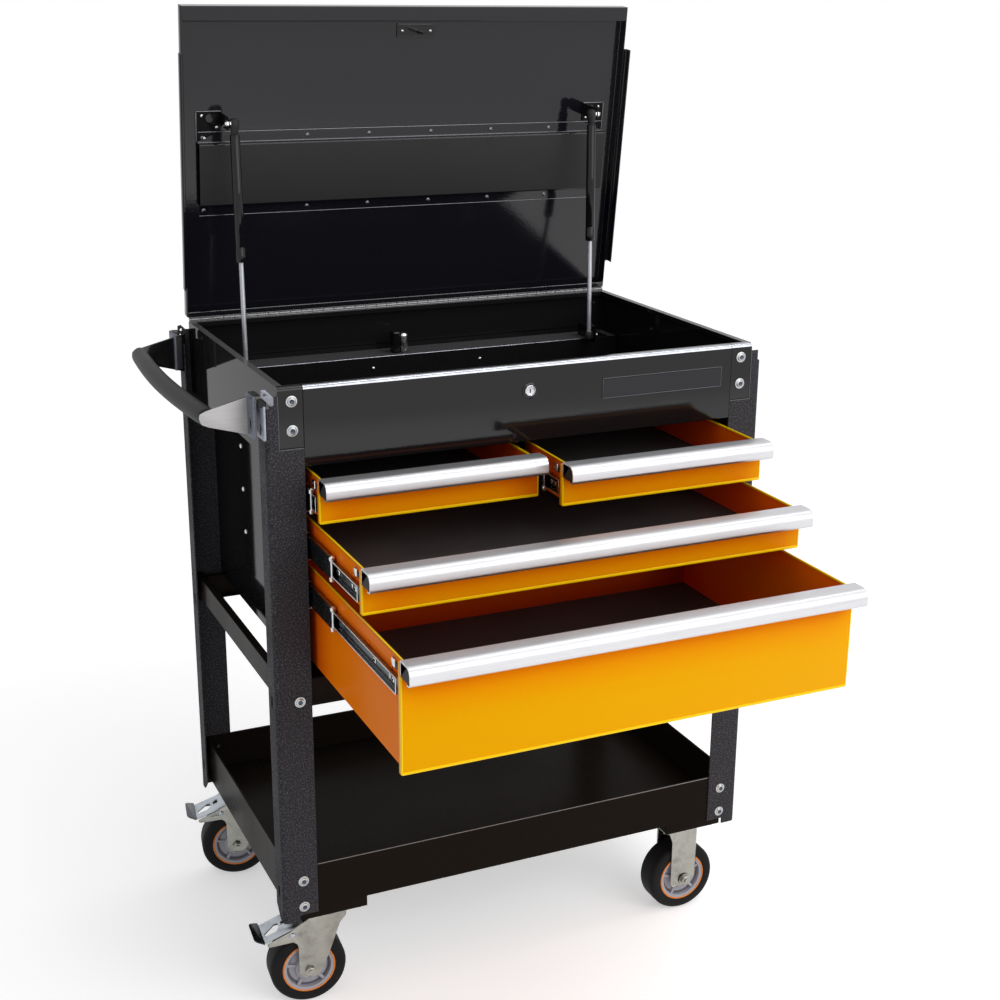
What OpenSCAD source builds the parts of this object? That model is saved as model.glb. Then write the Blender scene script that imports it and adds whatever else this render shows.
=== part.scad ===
// Rolling tool chest: lidded top box over four drawers, open lower tray,
// corner posts, side push handle, two swivel casters with brakes and two rigid casters.
// Millimetres, +Z up, front towards -Y. Lid and drawers are drawn open.

/* [Chest] */
// width of the top box
box_w = 804; // [780:1:840]
// depth of the top box between the front and rear posts
box_d = 515; // [505:1:540]
// height of the top box rim above the floor
rim_z = 1053; // [1045:1:1080]
// height of the top box walls
box_h = 123; // [115:1:130]
// sheet steel thickness
sheet = 1.5; // [1:0.1:1.8]
// fold of the rim and floor flanges
flange = 11; // [9:0.5:14]

/* [Posts and frame] */
// width of a post's front flange
post_w = 57.5; // [50:0.5:62]
// depth of a post's side flange
post_s = 39; // [30:0.5:45]
// thickness of the post steel
post_t = 2.5; // [2:0.1:3]
// room between the top box side and the post
post_gap = 16.5; // [14:0.5:20]
// outside bend radius of a post
post_r = 8; // [5:0.5:10]
// top face of the front and rear rails
rail_z = 590; // [570:1:592]
// height of the rails
rail_h = 44; // [35:1:50]
// flange width of the rails
rail_w = 13; // [10:0.5:16]

/* [Tray] */
// top face of the tray floor
tray_floor_z = 205; // [200:1:215]
// top edge of the tray walls
tray_top_z = 270; // [255:1:290]
// room between the tray and the side of a post
tray_gap = 8.5; // [6.5:0.5:16.5]

/* [Drawers] */
// height of a shallow drawer front
shallow_h = 70.6; // [66:0.1:72]
// height of the deep drawer front
deep_h = 168.2; // [150:0.1:170]
// gap between drawer fronts
front_gap = 6.8; // [5:0.1:8]
// depth of the folded drawer front
front_t = 12; // [10:0.5:14]
// length of the drawer tub behind its front
tub_l = 453; // [445:1:455]
// full travel of a drawer
travel = 440; // [420:1:445]
// opening of the left upper drawer
open_1 = 44.5; // [0:0.5:440]
// opening of the right upper drawer
open_2 = 105; // [0:0.5:440]
// opening of the middle drawer
open_3 = 221; // [0:0.5:440]
// opening of the deep drawer
open_4 = 366; // [330:0.5:420]
// thickness of the drawer liners
liner_t = 3; // [2:0.1:4]
// how far a pull stands off its drawer front
pull_d = 31; // [25:0.5:34]
// height of a pull
pull_h = 25; // [20:0.5:28]

/* [Slides] */
// thickness of a ball bearing slide
slide_t = 12.7; // [12.5:0.1:13.2]
// height of the fixed slide member
slide_h = 45; // [42:0.5:47]

/* [Lid] */
// lid angle from closed
lid_open = 82.7; // [60:0.1:88]
// depth of the lid pan
lid_h = 20; // [16:0.5:24]
// length of the lid from its hinge line
lid_l = 519.5; // [510:0.5:540]
// radius of the hinge knuckles
knuckle_r = 3.5; // [3:0.1:3.8]
// radius of the hinge pin
pin_r = 1.5; // [1.2:0.1:1.8]
// distance of the struts from the centre plane
strut_x = 327.5; // [310:0.5:340]
// distance of the upper strut ball from the hinge line
strut_s = 339.8; // [320:0.1:345]

/* [Casters] */
// wheel radius
wheel_r = 63.5; // [60:0.5:64]
// wheel width
wheel_w = 32; // [28:0.5:34]
// mounting height of the casters
caster_z = 177; // [175:0.5:180]
// middle of a caster plate in from the side of the tray
caster_in_x = 76; // [70:1:85]
// middle of a caster plate in from the front or rear of the tray
caster_in_y = 40.8; // [39:0.1:52]
// trail of the swivel casters
trail = 38; // [34:0.5:40]
// radius of the wheel axles
axle_r = 5; // [4:0.1:6]

/* [Handle] */
// reach of the handle beyond the posts
handle_d = 89; // [79:1:109]
// height of the grip centre
handle_z = 1013; // [1005:1:1020]
// radius of the grip
grip_r = 14; // [12:0.5:15]

/* [Fits] */
// radial clearance of a turning pin or shaft
run_gap = 0.06; // [0.02:0.01:0.1]
// radial clearance of a fixed screw in its hole
screw_gap = 0.1; // [0.05:0.05:0.3]
// radial clearance around a ball stud
ball_gap = 0.3; // [0.3:0.05:0.5]

/* [Hidden] */
$fn = 64;
eps = 0.01;
half_w = box_w / 2;
half_d = box_d / 2;
floor_z = rim_z - box_h;
post_x = half_w + post_gap + post_t;
post_y = half_d + post_t;
post_in = post_x - post_w;
tray_x = post_x - post_t - tray_gap;
caster_x = tray_x - caster_in_x;
caster_y = half_d - caster_in_y;
handle_x = post_x + handle_d;
cut_z = floor_z + 29.5;
cut_x = half_w - 1;
post_top_z = rim_z - 13;
side_top_z = rim_z - 31;
foot_z = caster_z - 3;
skirt_z = caster_z + 14.7;
tab_t = 2.5;
slide_l = tub_l - 3;
wall_y = half_d - 1.5;
pan_z = floor_z + sheet;
side_rail_z = rail_z + 6;
front_x = post_in - 5.2;
tub_x = front_x - 6;
tub_mid = slide_t + 0.8;
front_mid = 5;
cab_x = tub_x + slide_t;
face_y = -half_d - 4.5;
top_2 = floor_z - 5;
top_3 = top_2 - shallow_h - front_gap;
top_4 = top_3 - shallow_h - front_gap;
slide_z_2 = top_2 - 45;
slide_z_3 = top_3 - 43.6;
slide_z_4 = top_4 - 44.2;
slide_y = face_y + 12;
web = 1.2;
inner_h = 12;
middle_h = 17;
ratio = [0.5, 0.5, 0.5, 0.3];
opens = [open_1, open_2, open_3, open_4];
hinge_y = post_y;
hinge_z = rim_z + 2;
hinge_w = box_w - 44;
knuckles = 9;
knuckle_l = hinge_w / knuckles;
strut_d = 35.1;
ball_r = 5;
rod_r = 3;
tube_r = 7.5;
tube_l = 225;
rod_l = 205;
ball_y = half_d - 86.5;
ball_z = rim_z - 66;
top_ball_y = hinge_y - strut_s * cos(lid_open) - strut_d * sin(lid_open);
top_ball_z = hinge_z + strut_s * sin(lid_open) - strut_d * cos(lid_open);
strut_lean = atan2(top_ball_y - ball_y, top_ball_z - ball_z);
strut_l = norm([top_ball_y - ball_y, top_ball_z - ball_z]);
lock_z = rim_z - 42;
ledge_z = rim_z - 76;
ledge_y = wall_y - 63;
bracket_x = post_x + 25;
plate_t = 3.5;
leg_y = wheel_w / 2 + 5.5;
leg_t = 2.5;
swivel_yaw = [-4.9, -9.6];
screw_r = 3;
post_screws = [[post_x - 40, rim_z - 22], [post_x - 40, rim_z - 66], [post_x - 34, tray_top_z - 24],
    [post_x - 34, tray_floor_z - 5], [post_x - 38, rail_z - 33]];
caster_screws = [[43, 28], [43, -28], [-43, 28], [-43, -28]];
x_shift = (handle_x - post_x) / 2;
y_shift = (pull_d - face_y + open_4 - hinge_y + 4 * cos(lid_open) - lid_h * sin(lid_open)) / 2;

// ---- shared shapes ----

// box given by its two corners
module block(a, b) {
    translate(a) cube(b - a);
}

// plate in an XZ plane from y0 to y1
module xz_plate(y0, y1) {
    translate([0, y1, 0]) rotate([90, 0, 0]) linear_extrude(y1 - y0) children();
}

// the child and its mirror image left to right
module both_sides() {
    children();
    mirror([1, 0, 0]) children();
}

// cylinder along X between x0 and x1
module x_bar(x0, x1, r) {
    translate([x0, 0, 0]) rotate([0, 90, 0]) cylinder(h = x1 - x0, r = r);
}

// cylinder along Y between y0 and y1
module y_bar(y0, y1, r) {
    translate([0, y1, 0]) rotate([90, 0, 0]) cylinder(h = y1 - y0, r = r);
}

// corner of a folded sheet: rounded outside corner at the inset
module fold_area(inset, r) {
    translate([inset + r, inset]) square([post_w + post_r, post_s + 2 * post_r]);
    translate([inset, inset + r]) square([post_w + post_r, post_s + 2 * post_r]);
    translate([inset + r, inset + r]) circle(r);
}

// holes of the post screws, front side
module screw_holes() {
    both_sides()
        for (p = post_screws)
            translate([p[0], -half_d, p[1]]) y_bar(-12, 12, screw_r + screw_gap);
}

// moves the lid's own frame (hinge line at the origin, lid closed) to its drawn angle
module lid_place() {
    translate([0, hinge_y, hinge_z]) rotate([-lid_open, 0, 0]) children();
}

// ---- frame ----

// one post standing at the front right corner
module post() {
    difference() {
        translate([post_x, -post_y, foot_z]) linear_extrude(post_top_z - foot_z)
            mirror([1, 0, 0])
            intersection() {
                difference() {
                    fold_area(0, post_r);
                    fold_area(post_t, post_r - post_t);
                }
                square([post_w, post_s]);
            }
        // cut-out that clears the top box front
        block([post_in - 1, -post_y - 1, cut_z], [cut_x, -half_d + 1, rim_z]);
        // side flange stops short of the front flange
        block([post_x - 7, -post_y - 1, side_top_z], [post_x + 1, 0, rim_z]);
        // step in the foot
        block([post_in - 1, -post_y - 1, foot_z - 1], [post_x - 27, 0, foot_z + 11]);
        // chamfer of the side flange foot
        translate([post_x + 1, -post_y + post_s, foot_z]) rotate([0, -90, 0])
            linear_extrude(post_t + 2) polygon([[-1, 1], [21, 1], [-1, -21]]);
        // slots in the side flange
        for (z = [rail_z - 35, tray_top_z - 46])
            for (dz = [-6, 6])
                translate([0, -post_y + 22, z + dz]) x_bar(post_x - 5, post_x + 1, 4);
        for (z = [rail_z - 35, tray_top_z - 46])
            block([post_x - 5, -post_y + 18, z - 6], [post_x + 1, -post_y + 26, z + 6]);
    }
    // tab behind the top box front
    difference() {
        block([post_in, -half_d - 1, cut_z - 15], [cut_x - 0.6, -half_d - 1 + tab_t, post_top_z]);
        block([post_in - 1, -half_d - 2, cut_z - 16], [post_in + 0.5, -wall_y, post_top_z + 1]);
    }
}

module front_posts() {
    color("#37373a")
        difference() {
            both_sides() post();
            screw_holes();
        }
}

module rear_posts() {
    color("#37373a")
        mirror([0, 1, 0])
        difference() {
            both_sides() post();
            screw_holes();
        }
}

// C rail: web outside, flanges inwards, from z0 to z1, reaching y from -half_d
module front_rail() {
    y0 = -half_d;
    x1 = tray_x + 2;
    block([-x1, y0, rail_z - rail_h], [x1, y0 + post_t, rail_z]);
    block([-x1, y0, rail_z - post_t], [x1, y0 + rail_w, rail_z]);
    block([-x1, y0, rail_z - rail_h], [x1, y0 + rail_w, rail_z - rail_h + post_t]);
}

module side_rail() {
    x1 = tray_x + 2;
    z0 = side_rail_z - 40;
    block([x1 - post_t, -half_d, z0], [x1, half_d, side_rail_z]);
    block([x1 - rail_w, -half_d, side_rail_z - post_t], [x1, half_d, side_rail_z]);
    block([x1 - rail_w, -half_d, z0], [x1, half_d, z0 + post_t]);
}

module frame_rails() {
    color("#2c2a29")
        difference() {
            union() {
                front_rail();
                mirror([0, 1, 0]) front_rail();
                both_sides() side_rail();
            }
            screw_holes();
            mirror([0, 1, 0]) screw_holes();
        }
}

module tray() {
    color("#2a2725")
        difference() {
            union() {
                difference() {
                    block([-tray_x, -half_d, skirt_z], [tray_x, half_d, tray_top_z]);
                    block([-tray_x + sheet, -half_d + sheet, tray_floor_z],
                        [tray_x - sheet, half_d - sheet, tray_top_z + 1]);
                    block([-tray_x + sheet, -half_d + sheet, skirt_z - 1],
                        [tray_x - sheet, half_d - sheet, tray_floor_z - sheet]);
                }
                // hemmed edge
                difference() {
                    block([-tray_x, -half_d, tray_top_z - 5], [tray_x, half_d, tray_top_z]);
                    block([-tray_x + 2 * sheet, -half_d + 2 * sheet, tray_top_z - 6],
                        [tray_x - 2 * sheet, half_d - 2 * sheet, tray_top_z + 1]);
                }
                // caster channels
                both_sides()
                    difference() {
                        block([caster_x - 54, -half_d, caster_z],
                            [caster_x + 56, half_d, tray_floor_z - sheet / 2]);
                        block([caster_x - 54 + sheet, -half_d - 1, caster_z + 2],
                            [caster_x + 56 - sheet, half_d + 1, tray_floor_z]);
                    }
            }
            screw_holes();
            mirror([0, 1, 0]) screw_holes();
            at_casters() for (p = caster_screws)
                translate([p[0], p[1], caster_z - 1]) cylinder(h = 12, r = 4 + screw_gap);
        }
}

// ---- top box ----

module top_box_front() {
    color("#1d1c1e")
        difference() {
            union() {
                xz_plate(-post_y, -post_y + sheet)
                    polygon([[-post_in + 0.5, floor_z], [post_in - 0.5, floor_z],
                        [post_in - 0.5, cut_z + 0.5], [cut_x - 0.5, cut_z + 0.5],
                        [cut_x - 0.5, rim_z], [-cut_x + 0.5, rim_z],
                        [-cut_x + 0.5, cut_z + 0.5], [-post_in + 0.5, cut_z + 0.5]]);
                // rim flange with its lip
                block([-cut_x + 0.5, -post_y, rim_z - sheet],
                    [cut_x - 0.5, -post_y + flange + 1, rim_z]);
                block([-cut_x + 0.5, -post_y + flange + 1 - sheet, rim_z - 8],
                    [cut_x - 0.5, -post_y + flange + 1, rim_z]);
                // lower flange
                block([-post_in + 0.5, -post_y, floor_z],
                    [post_in - 0.5, -post_y + flange, floor_z + sheet]);
            }
            screw_holes();
            translate([0, -post_y, lock_z]) y_bar(-5, 5, 9.5 + screw_gap);
        }
}

module top_box_shell() {
    color("#1d1c1e")
        difference() {
            union() {
                both_sides() {
                    block([half_w - sheet, -wall_y, floor_z], [half_w, wall_y, rim_z]);
                    // front fold
                    block([half_w - 22, -wall_y, floor_z + 4],
                        [half_w, -wall_y + sheet, rim_z - 9]);
                    // rim flange
                    block([half_w - flange, -post_y + flange + 1, rim_z - sheet],
                        [half_w, wall_y, rim_z]);
                    block([half_w - flange, -post_y + flange + 1, rim_z - 8],
                        [half_w - flange + sheet, wall_y, rim_z]);
                }
                block([-half_w, wall_y - sheet, floor_z], [half_w, wall_y, rim_z]);
                block([-half_w, wall_y - flange, rim_z - sheet], [half_w, wall_y, rim_z]);
                block([-half_w + flange, wall_y - flange, rim_z - 8],
                    [half_w - flange, wall_y - flange + sheet, rim_z]);
            }
            screw_holes();
            mirror([0, 1, 0]) screw_holes();
        }
}

module top_box_floor() {
    x1 = half_w - sheet;
    y0 = -wall_y + sheet;
    y1 = wall_y - sheet;
    color("#1a191b")
        difference() {
            block([-x1, y0, pan_z], [x1, y1, ledge_z - 6]);
            block([-x1 + sheet, y0 + sheet, pan_z + sheet], [x1 - sheet, y1 - sheet, rim_z]);
        }
}

module rear_ledge() {
    x1 = half_w - 2 * sheet - 1;
    y1 = wall_y - sheet;
    color("#1d1c1e") {
        block([-x1, ledge_y, ledge_z - sheet], [x1, y1, ledge_z]);
        block([-x1, ledge_y, pan_z + sheet], [x1, ledge_y + sheet, ledge_z]);
    }
}

module badge_plate() {
    color("#232225") block([half_w - 274, -post_y - 1.5, lock_z - 23],
        [half_w - 59, -post_y, lock_z + 6]);
}

module lock_housing() {
    color("#8f8f92")
        translate([0, -post_y, lock_z])
        difference() {
            union() {
                y_bar(-2.5, 0, 13);
                y_bar(-1, 24, 9.5);
            }
            y_bar(-5, 26, 7.5 + run_gap);
        }
}

module lock_barrel() {
    color("#b9b9bc")
        translate([0, -post_y, lock_z])
        difference() {
            union() {
                y_bar(-3.5, 24, 7.5);
                // cam that hooks the lid striker
                block([-6, 24, -6], [22, 27, 6]);
            }
            block([-1, -4, -4.5], [1, 1, 4.5]);
        }
}

module ledge_clip() {
    color("#2a2a2c") {
        block([-47, ledge_y + 18, ledge_z], [-34, ledge_y + 30, ledge_z + 39]);
        block([-34, ledge_y + 20, ledge_z], [-19, ledge_y + 22, ledge_z + 33]);
        block([-47, ledge_y + 12, ledge_z], [-19, ledge_y + 34, ledge_z + 2]);
    }
}

// ---- cabinet ----

module cabinet_shell() {
    y0 = -half_d;
    y1 = wall_y - sheet;
    color("#1b1a1c") {
        both_sides() block([cab_x, y0, rail_z], [cab_x + sheet, y1, pan_z]);
        block([-cab_x, y1 - sheet, rail_z], [cab_x, y1, pan_z]);
        block([-cab_x, y0, rail_z], [cab_x, y1, rail_z + sheet]);
        // divider between the upper drawers, on its shelf strip
        block([-0.8, -post_y + flange + 2, top_3 + 1], [0.8, y1, pan_z]);
        block([-tub_mid + 2, -post_y + flange + 2, top_3 + 0.5], [tub_mid - 2, y1, top_3 + 0.5 + sheet]);
    }
}

// fixed slide member: web against the wall at s = slide_t, drawer side at s = 0
module fixed_rail(s0, dir, z) {
    translate([s0, slide_y, z]) scale_x(dir) {
        block([slide_t - web, 0, -slide_h / 2], [slide_t, slide_l, slide_h / 2]);
        for (k = [0, 1]) mirror([0, 0, k])
            block([4, 0, slide_h / 2 - web], [slide_t, slide_l, slide_h / 2]);
    }
}

// mirrors the child in X when dir is negative
module scale_x(dir) {
    mirror([dir < 0 ? 1 : 0, 0, 0]) children();
}

module cabinet_slide_rails() {
    color("#c9c9c4") {
        for (z = [slide_z_2, slide_z_3, slide_z_4])
            both_sides() fixed_rail(tub_x, 1, z);
        both_sides() fixed_rail(tub_mid, -1, slide_z_2);
    }
}

// ---- drawers ----

// lower front corner z of a drawer from its top and height
function drawer_half(k) = k == 1 ? [-front_x, -front_mid] : k == 2 ? [front_mid, front_x]
    : [-front_x, front_x];
function tub_half(k) = k == 1 ? [-tub_x, -tub_mid] : k == 2 ? [tub_mid, tub_x]
    : [-tub_x, tub_x];
function drawer_top(k) = k < 3 ? top_2 : k == 3 ? top_3 : top_4;
function drawer_h(k) = k < 4 ? shallow_h : deep_h;
function drawer_y(k) = face_y - opens[k - 1];
function slide_z(k) = k < 3 ? slide_z_2 : k == 3 ? slide_z_3 : slide_z_4;

module drawer_box(k) {
    fx = drawer_half(k);
    tx = tub_half(k);
    z1 = drawer_top(k);
    z0 = z1 - drawer_h(k);
    y0 = drawer_y(k);
    y1 = y0 + front_t;
    color("#eda906") {
        // folded front, open below
        difference() {
            block([fx[0], y0, z0], [fx[1], y1, z1]);
            block([fx[0] + sheet, y0 + sheet, z0 - 1], [fx[1] - sheet, y1 + 1, z1 - sheet]);
        }
        block([fx[0], y1 - sheet, z1 - 8], [fx[1], y1, z1]);
        // tub
        difference() {
            block([tx[0], y1 - sheet, z0 + 4], [tx[1], y1 + tub_l, z1 - 5]);
            block([tx[0] + sheet, y1, z0 + 4 + sheet], [tx[1] - sheet, y1 + tub_l - sheet, z1]);
        }
    }
}

module drawer_liner(k) {
    tx = tub_half(k);
    z0 = drawer_top(k) - drawer_h(k) + 4 + sheet;
    y1 = drawer_y(k) + front_t;
    color("#1e1c1c")
        block([tx[0] + sheet + 1, y1 + 1, z0], [tx[1] - sheet - 1, y1 + tub_l - sheet - 1, z0 + liner_t]);
}

// pull section: flat top, rounded nose, lip turned down; origin at the top of the drawer front
module pull_section() {
    r = 9;
    t = 2.2;
    difference() {
        union() {
            translate([-pull_d + r, -pull_h]) square([pull_d - r, pull_h]);
            translate([-pull_d, -pull_h + 3]) square([pull_d, pull_h - r - 3]);
            translate([-pull_d + r, -r]) circle(r);
            translate([-pull_d + 3, -pull_h + 3]) circle(3);
            translate([-pull_d + 3, -pull_h]) square([r, pull_h - 3]);
        }
        translate([-pull_d + r, -pull_h - 1]) square([pull_d - r - t, pull_h - t + 1]);
        translate([-pull_d + t, -pull_h + 3]) square([r, pull_h - r - 3]);
        translate([-pull_d + r, -r]) circle(r - t);
    }
}

module drawer_pull(k) {
    fx = drawer_half(k);
    color("#c6c5c3")
        translate([fx[0], drawer_y(k), drawer_top(k)])
        rotate([90, 0, 90]) linear_extrude(fx[1] - fx[0]) pull_section();
}

// drawer slide member: web on the tub side
module tub_rail(s0, dir, k) {
    translate([s0, drawer_y(k) + front_t + 5, slide_z(k)]) scale_x(dir) {
        block([0, 0, -inner_h], [web, slide_l - 5, inner_h]);
        for (m = [0, 1]) mirror([0, 0, m])
            block([0, 0, inner_h - web], [6.5, slide_l - 5, inner_h]);
    }
}

module drawer_slides(k) {
    tx = tub_half(k);
    color("#c9c9c4") {
        tub_rail(tx[0], -1, k);
        tub_rail(tx[1], 1, k);
    }
}

// middle slide member with its two rows of caged balls
module middle_rail(s0, dir, k) {
    translate([s0, slide_y - ratio[k - 1] * opens[k - 1], slide_z(k)]) scale_x(dir) {
        block([7, 0, -middle_h], [7 + web, slide_l, middle_h]);
        for (m = [0, 1]) mirror([0, 0, m]) {
            block([1.7, 0, middle_h - web], [7 + web, slide_l, middle_h]);
            block([3, 2, inner_h], [5.5, slide_l - 2, middle_h - web + eps]);
            block([5, 2, middle_h - eps], [7.5, slide_l - 2, slide_h / 2 - web]);
        }
    }
}

module drawer_middles(k) {
    tx = tub_half(k);
    color("#b9b9b4") {
        middle_rail(tx[0], -1, k);
        middle_rail(tx[1], 1, k);
    }
}

// ---- lid (drawn closed in its own frame: hinge line at the origin, lid towards -Y) ----

module lid_shell() {
    y0 = -lid_l;
    y1 = -4;
    color("#1f1e20")
        lid_place() {
            difference() {
                block([-half_w, y0, 0], [half_w, y1, lid_h]);
                block([-half_w + sheet, y0 + sheet, -1], [half_w - sheet, y1 - sheet, lid_h - sheet]);
            }
            // front lip and hinge side fold
            block([-half_w, y0, 0], [half_w, y0 + 24, sheet]);
            block([-half_w, y1 - 9, 0], [half_w, y1, sheet]);
            // side skirts
            both_sides() {
                block([half_w - sheet, -447, 0], [half_w + 6, -55, sheet]);
                block([half_w + 6 - sheet, -447, -12], [half_w + 6, -55, sheet]);
            }
        }
}

module lid_channel() {
    z1 = lid_h - sheet;
    color("#1c1b1d")
        lid_place() {
            block([-375, -316, z1 - sheet], [380, -297, z1]);
            block([-375, -190, z1 - sheet], [380, -168, z1]);
            block([-375, -297 - sheet, z1 - 13], [380, -297, z1]);
            block([-375, -190, z1 - 13], [380, -190 + sheet, z1]);
            block([-375, -297 - sheet, z1 - 13], [380, -190 + sheet, z1 - 13 + sheet]);
        }
}

module lid_striker() {
    z1 = lid_h - sheet;
    y0 = -lid_l + 29.5;
    color("#a9a9ab")
        lid_place()
        difference() {
            union() {
                block([-30, y0, z1 - 2], [40, y0 + 24, z1]);
                block([-7, y0 + 8, -38], [7, y0 + 11, z1]);
            }
            block([-4, y0, -32], [4, y0 + 20, -18]);
        }
}

module lid_strut_brackets() {
    x0 = strut_x + 8.5;
    y0 = -strut_s - 10.2;
    z1 = lid_h - sheet;
    color("#2b2a2c")
        lid_place() both_sides() {
            block([x0, y0, z1 - 2], [x0 + 42, y0 + 33, z1]);
            block([x0, y0, -strut_d - 6], [x0 + 2, y0 + 22, z1]);
        }
}

// one hinge knuckle row: count segments from first, every second one
module knuckle_row(first, z_leaf0, z_leaf1) {
    for (i = [first : 2 : knuckles - 1])
        translate([-hinge_w / 2 + i * knuckle_l + 0.3, 0, 0]) {
            x_bar(0, knuckle_l - 0.6, knuckle_r);
            block([0, -4, z_leaf0], [knuckle_l - 0.6, 0, z_leaf1]);
        }
}

module hinge_leaf_box() {
    color("#1d1c1e")
        translate([0, hinge_y, hinge_z])
        difference() {
            union() {
                knuckle_row(0, -knuckle_r, 0);
                for (i = [0 : 2 : knuckles - 1])
                    translate([-hinge_w / 2 + i * knuckle_l + 0.3, 0, 0])
                        block([0, -4, -7], [knuckle_l - 0.6, -4 + sheet, 0]);
                block([-hinge_w / 2, -4, post_top_z + 1 - hinge_z],
                    [hinge_w / 2, -4 + sheet, -4.5]);
            }
            x_bar(-hinge_w, hinge_w, pin_r + run_gap);
        }
}

module hinge_pin() {
    color("#8a8a8c")
        translate([0, hinge_y, hinge_z]) x_bar(-hinge_w / 2 - 2, hinge_w / 2 + 2, pin_r);
}

module hinge_leaf_lid() {
    color("#1d1c1e")
        lid_place()
        difference() {
            union() {
                knuckle_row(1, 0, knuckle_r);
                for (i = [1 : 2 : knuckles - 1])
                    translate([-hinge_w / 2 + i * knuckle_l + 0.3, 0, 0])
                        block([0, -4, 0], [knuckle_l - 0.6, -4 + sheet, 7]);
                block([-hinge_w / 2, -4, 4.5], [hinge_w / 2, -4 + sheet, lid_h - 3]);
            }
            x_bar(-hinge_w, hinge_w, pin_r + run_gap);
        }
}

// ---- gas struts ----

// frame of a strut: lower ball at the origin, upper ball on +Z
module strut_place() {
    translate([strut_x, ball_y, ball_z]) rotate([-strut_lean, 0, 0]) children();
}

// end fitting around a ball, open towards the stud
module ball_socket() {
    difference() {
        x_bar(-7, 5, ball_r + 3.5);
        sphere(ball_r + ball_gap);
        x_bar(0, 6, ball_r + ball_gap);
    }
}

module box_strut_studs() {
    x0 = strut_x + 8.5;
    color("#2b2a2c")
        both_sides() {
            block([x0, ledge_y + 1, ledge_z], [x0 + 42, ledge_y + 40, ledge_z + 2]);
            block([x0, ball_y - 9, ledge_z - 3 + eps], [x0 + 2.5, ledge_y - 0.5, ball_z + 12]);
            block([x0, ledge_y - 1, ledge_z], [x0 + 2.5, ledge_y + 40, ball_z + 12]);
            translate([0, ball_y, ball_z]) {
                x_bar(strut_x, x0 + 1, 3);
                translate([strut_x, 0, 0]) sphere(ball_r);
            }
        }
}

module strut_rod() {
    color("#d4d4d6")
        strut_place() {
            ball_socket();
            translate([0, 0, ball_r + 1.5]) cylinder(h = rod_l - ball_r - 1.5, r = rod_r);
            translate([0, 0, ball_r + 1.5]) cylinder(h = 10, r = 5.5);
        }
}

module strut_tube() {
    color("#19191b")
        strut_place() translate([0, 0, strut_l]) {
            ball_socket();
            sphere(ball_r);
            x_bar(-5.5, 8.2, 3);
            translate([0, 0, -18]) cylinder(h = 12, r = 6);
            difference() {
                translate([0, 0, -tube_l]) cylinder(h = tube_l - 14, r = tube_r);
                translate([0, 0, -tube_l - 1]) cylinder(h = 20, r = rod_r + run_gap);
                translate([0, 0, -tube_l + 12]) cylinder(h = tube_l - 36, r = tube_r - 1.5);
            }
        }
}

// ---- handle ----

module handle_frame() {
    z1 = handle_z;
    color("#b4b4b2") {
        for (y = [-half_d + 20.5, half_d - 27.5])
            xz_plate(y, y + 3)
                polygon([[-bracket_x, z1 - 30], [-bracket_x, z1 + 28], [-handle_x + 10, z1 + 13],
                    [-handle_x + 2, z1 + 9], [-handle_x, z1 + 2], [-handle_x + 4, z1 - 6],
                    [-handle_x + 16, z1 - 9]]);
        block([-handle_x + 6, -half_d + 20.5, z1 - 2], [-handle_x + 22, half_d - 24.5, z1 + 2]);
    }
}

module handle_grip() {
    color("#151515")
        difference() {
            translate([-handle_x + grip_r, 0, handle_z]) {
                y_bar(-half_d + 30, half_d - 34, grip_r);
                for (y = [-half_d + 24, half_d - 34]) y_bar(y, y + 6, grip_r);
            }
            block([-handle_x + 6 - 0.1, -half_d, handle_z - 2.1],
                [-handle_x + 22.1, half_d, handle_z + 2.1]);
        }
}

// bracket on the post's side flange that carries one end of the handle
module handle_bracket() {
    z0 = rim_z - 76;
    z1 = rim_z - 8;
    difference() {
        union() {
            block([-post_x - 3, -post_y + 1, z0], [-post_x, -post_y + 41, z1]);
            block([-bracket_x, -post_y + 1, z0], [-bracket_x + 3, -post_y + 41, z1]);
            block([-bracket_x, -post_y + 1, z1 - 3], [-post_x, -post_y + 41, z1]);
        }
        translate([0, -post_y + 30, z0 + 16]) x_bar(-bracket_x - 1, -post_x + 1, 5);
    }
}

module handle_brackets() {
    color("#a6a9ad") {
        handle_bracket();
        mirror([0, 1, 0]) handle_bracket();
    }
}

// ---- casters ----

// the child at the four caster plates
module at_casters() {
    for (x = [-caster_x, caster_x])
        for (y = [-caster_y, caster_y])
            translate([x, y, 0]) children();
}

// frame of a swivel caster: k = 0 front, 1 rear; trail towards -X
module swivel_place(k) {
    translate([-caster_x, k == 0 ? -caster_y : caster_y, 0]) rotate([0, 0, swivel_yaw[k]])
        children();
}

module caster_plates() {
    color("#b9b9af")
        difference() {
            union() {
                at_casters() block([-52, -38, caster_z - plate_t], [52, 38, caster_z]);
                // raceway and kingpin of the swivel casters
                for (k = [0, 1]) swivel_place(k) {
                    translate([0, 0, caster_z - 10]) cylinder(h = 8, r = 28);
                    translate([0, 0, caster_z - 19]) cylinder(h = 17, r = 6);
                    translate([0, 0, caster_z - 22]) cylinder(h = 8, r = 10);
                }
            }
            at_casters() for (p = caster_screws)
                translate([p[0], p[1], caster_z - 10]) cylinder(h = 12, r = 4 + screw_gap);
        }
}

// axle bolt with its head and nut, along Y
module axle() {
    y_bar(-leg_y - leg_t - 1, leg_y + leg_t + 1, axle_r);
    for (y = [-leg_y - leg_t - 6, leg_y + leg_t])
        translate([0, y + 6, 0]) rotate([90, 0, 0]) cylinder(h = 6, r = 9, $fn = 6);
}

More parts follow.
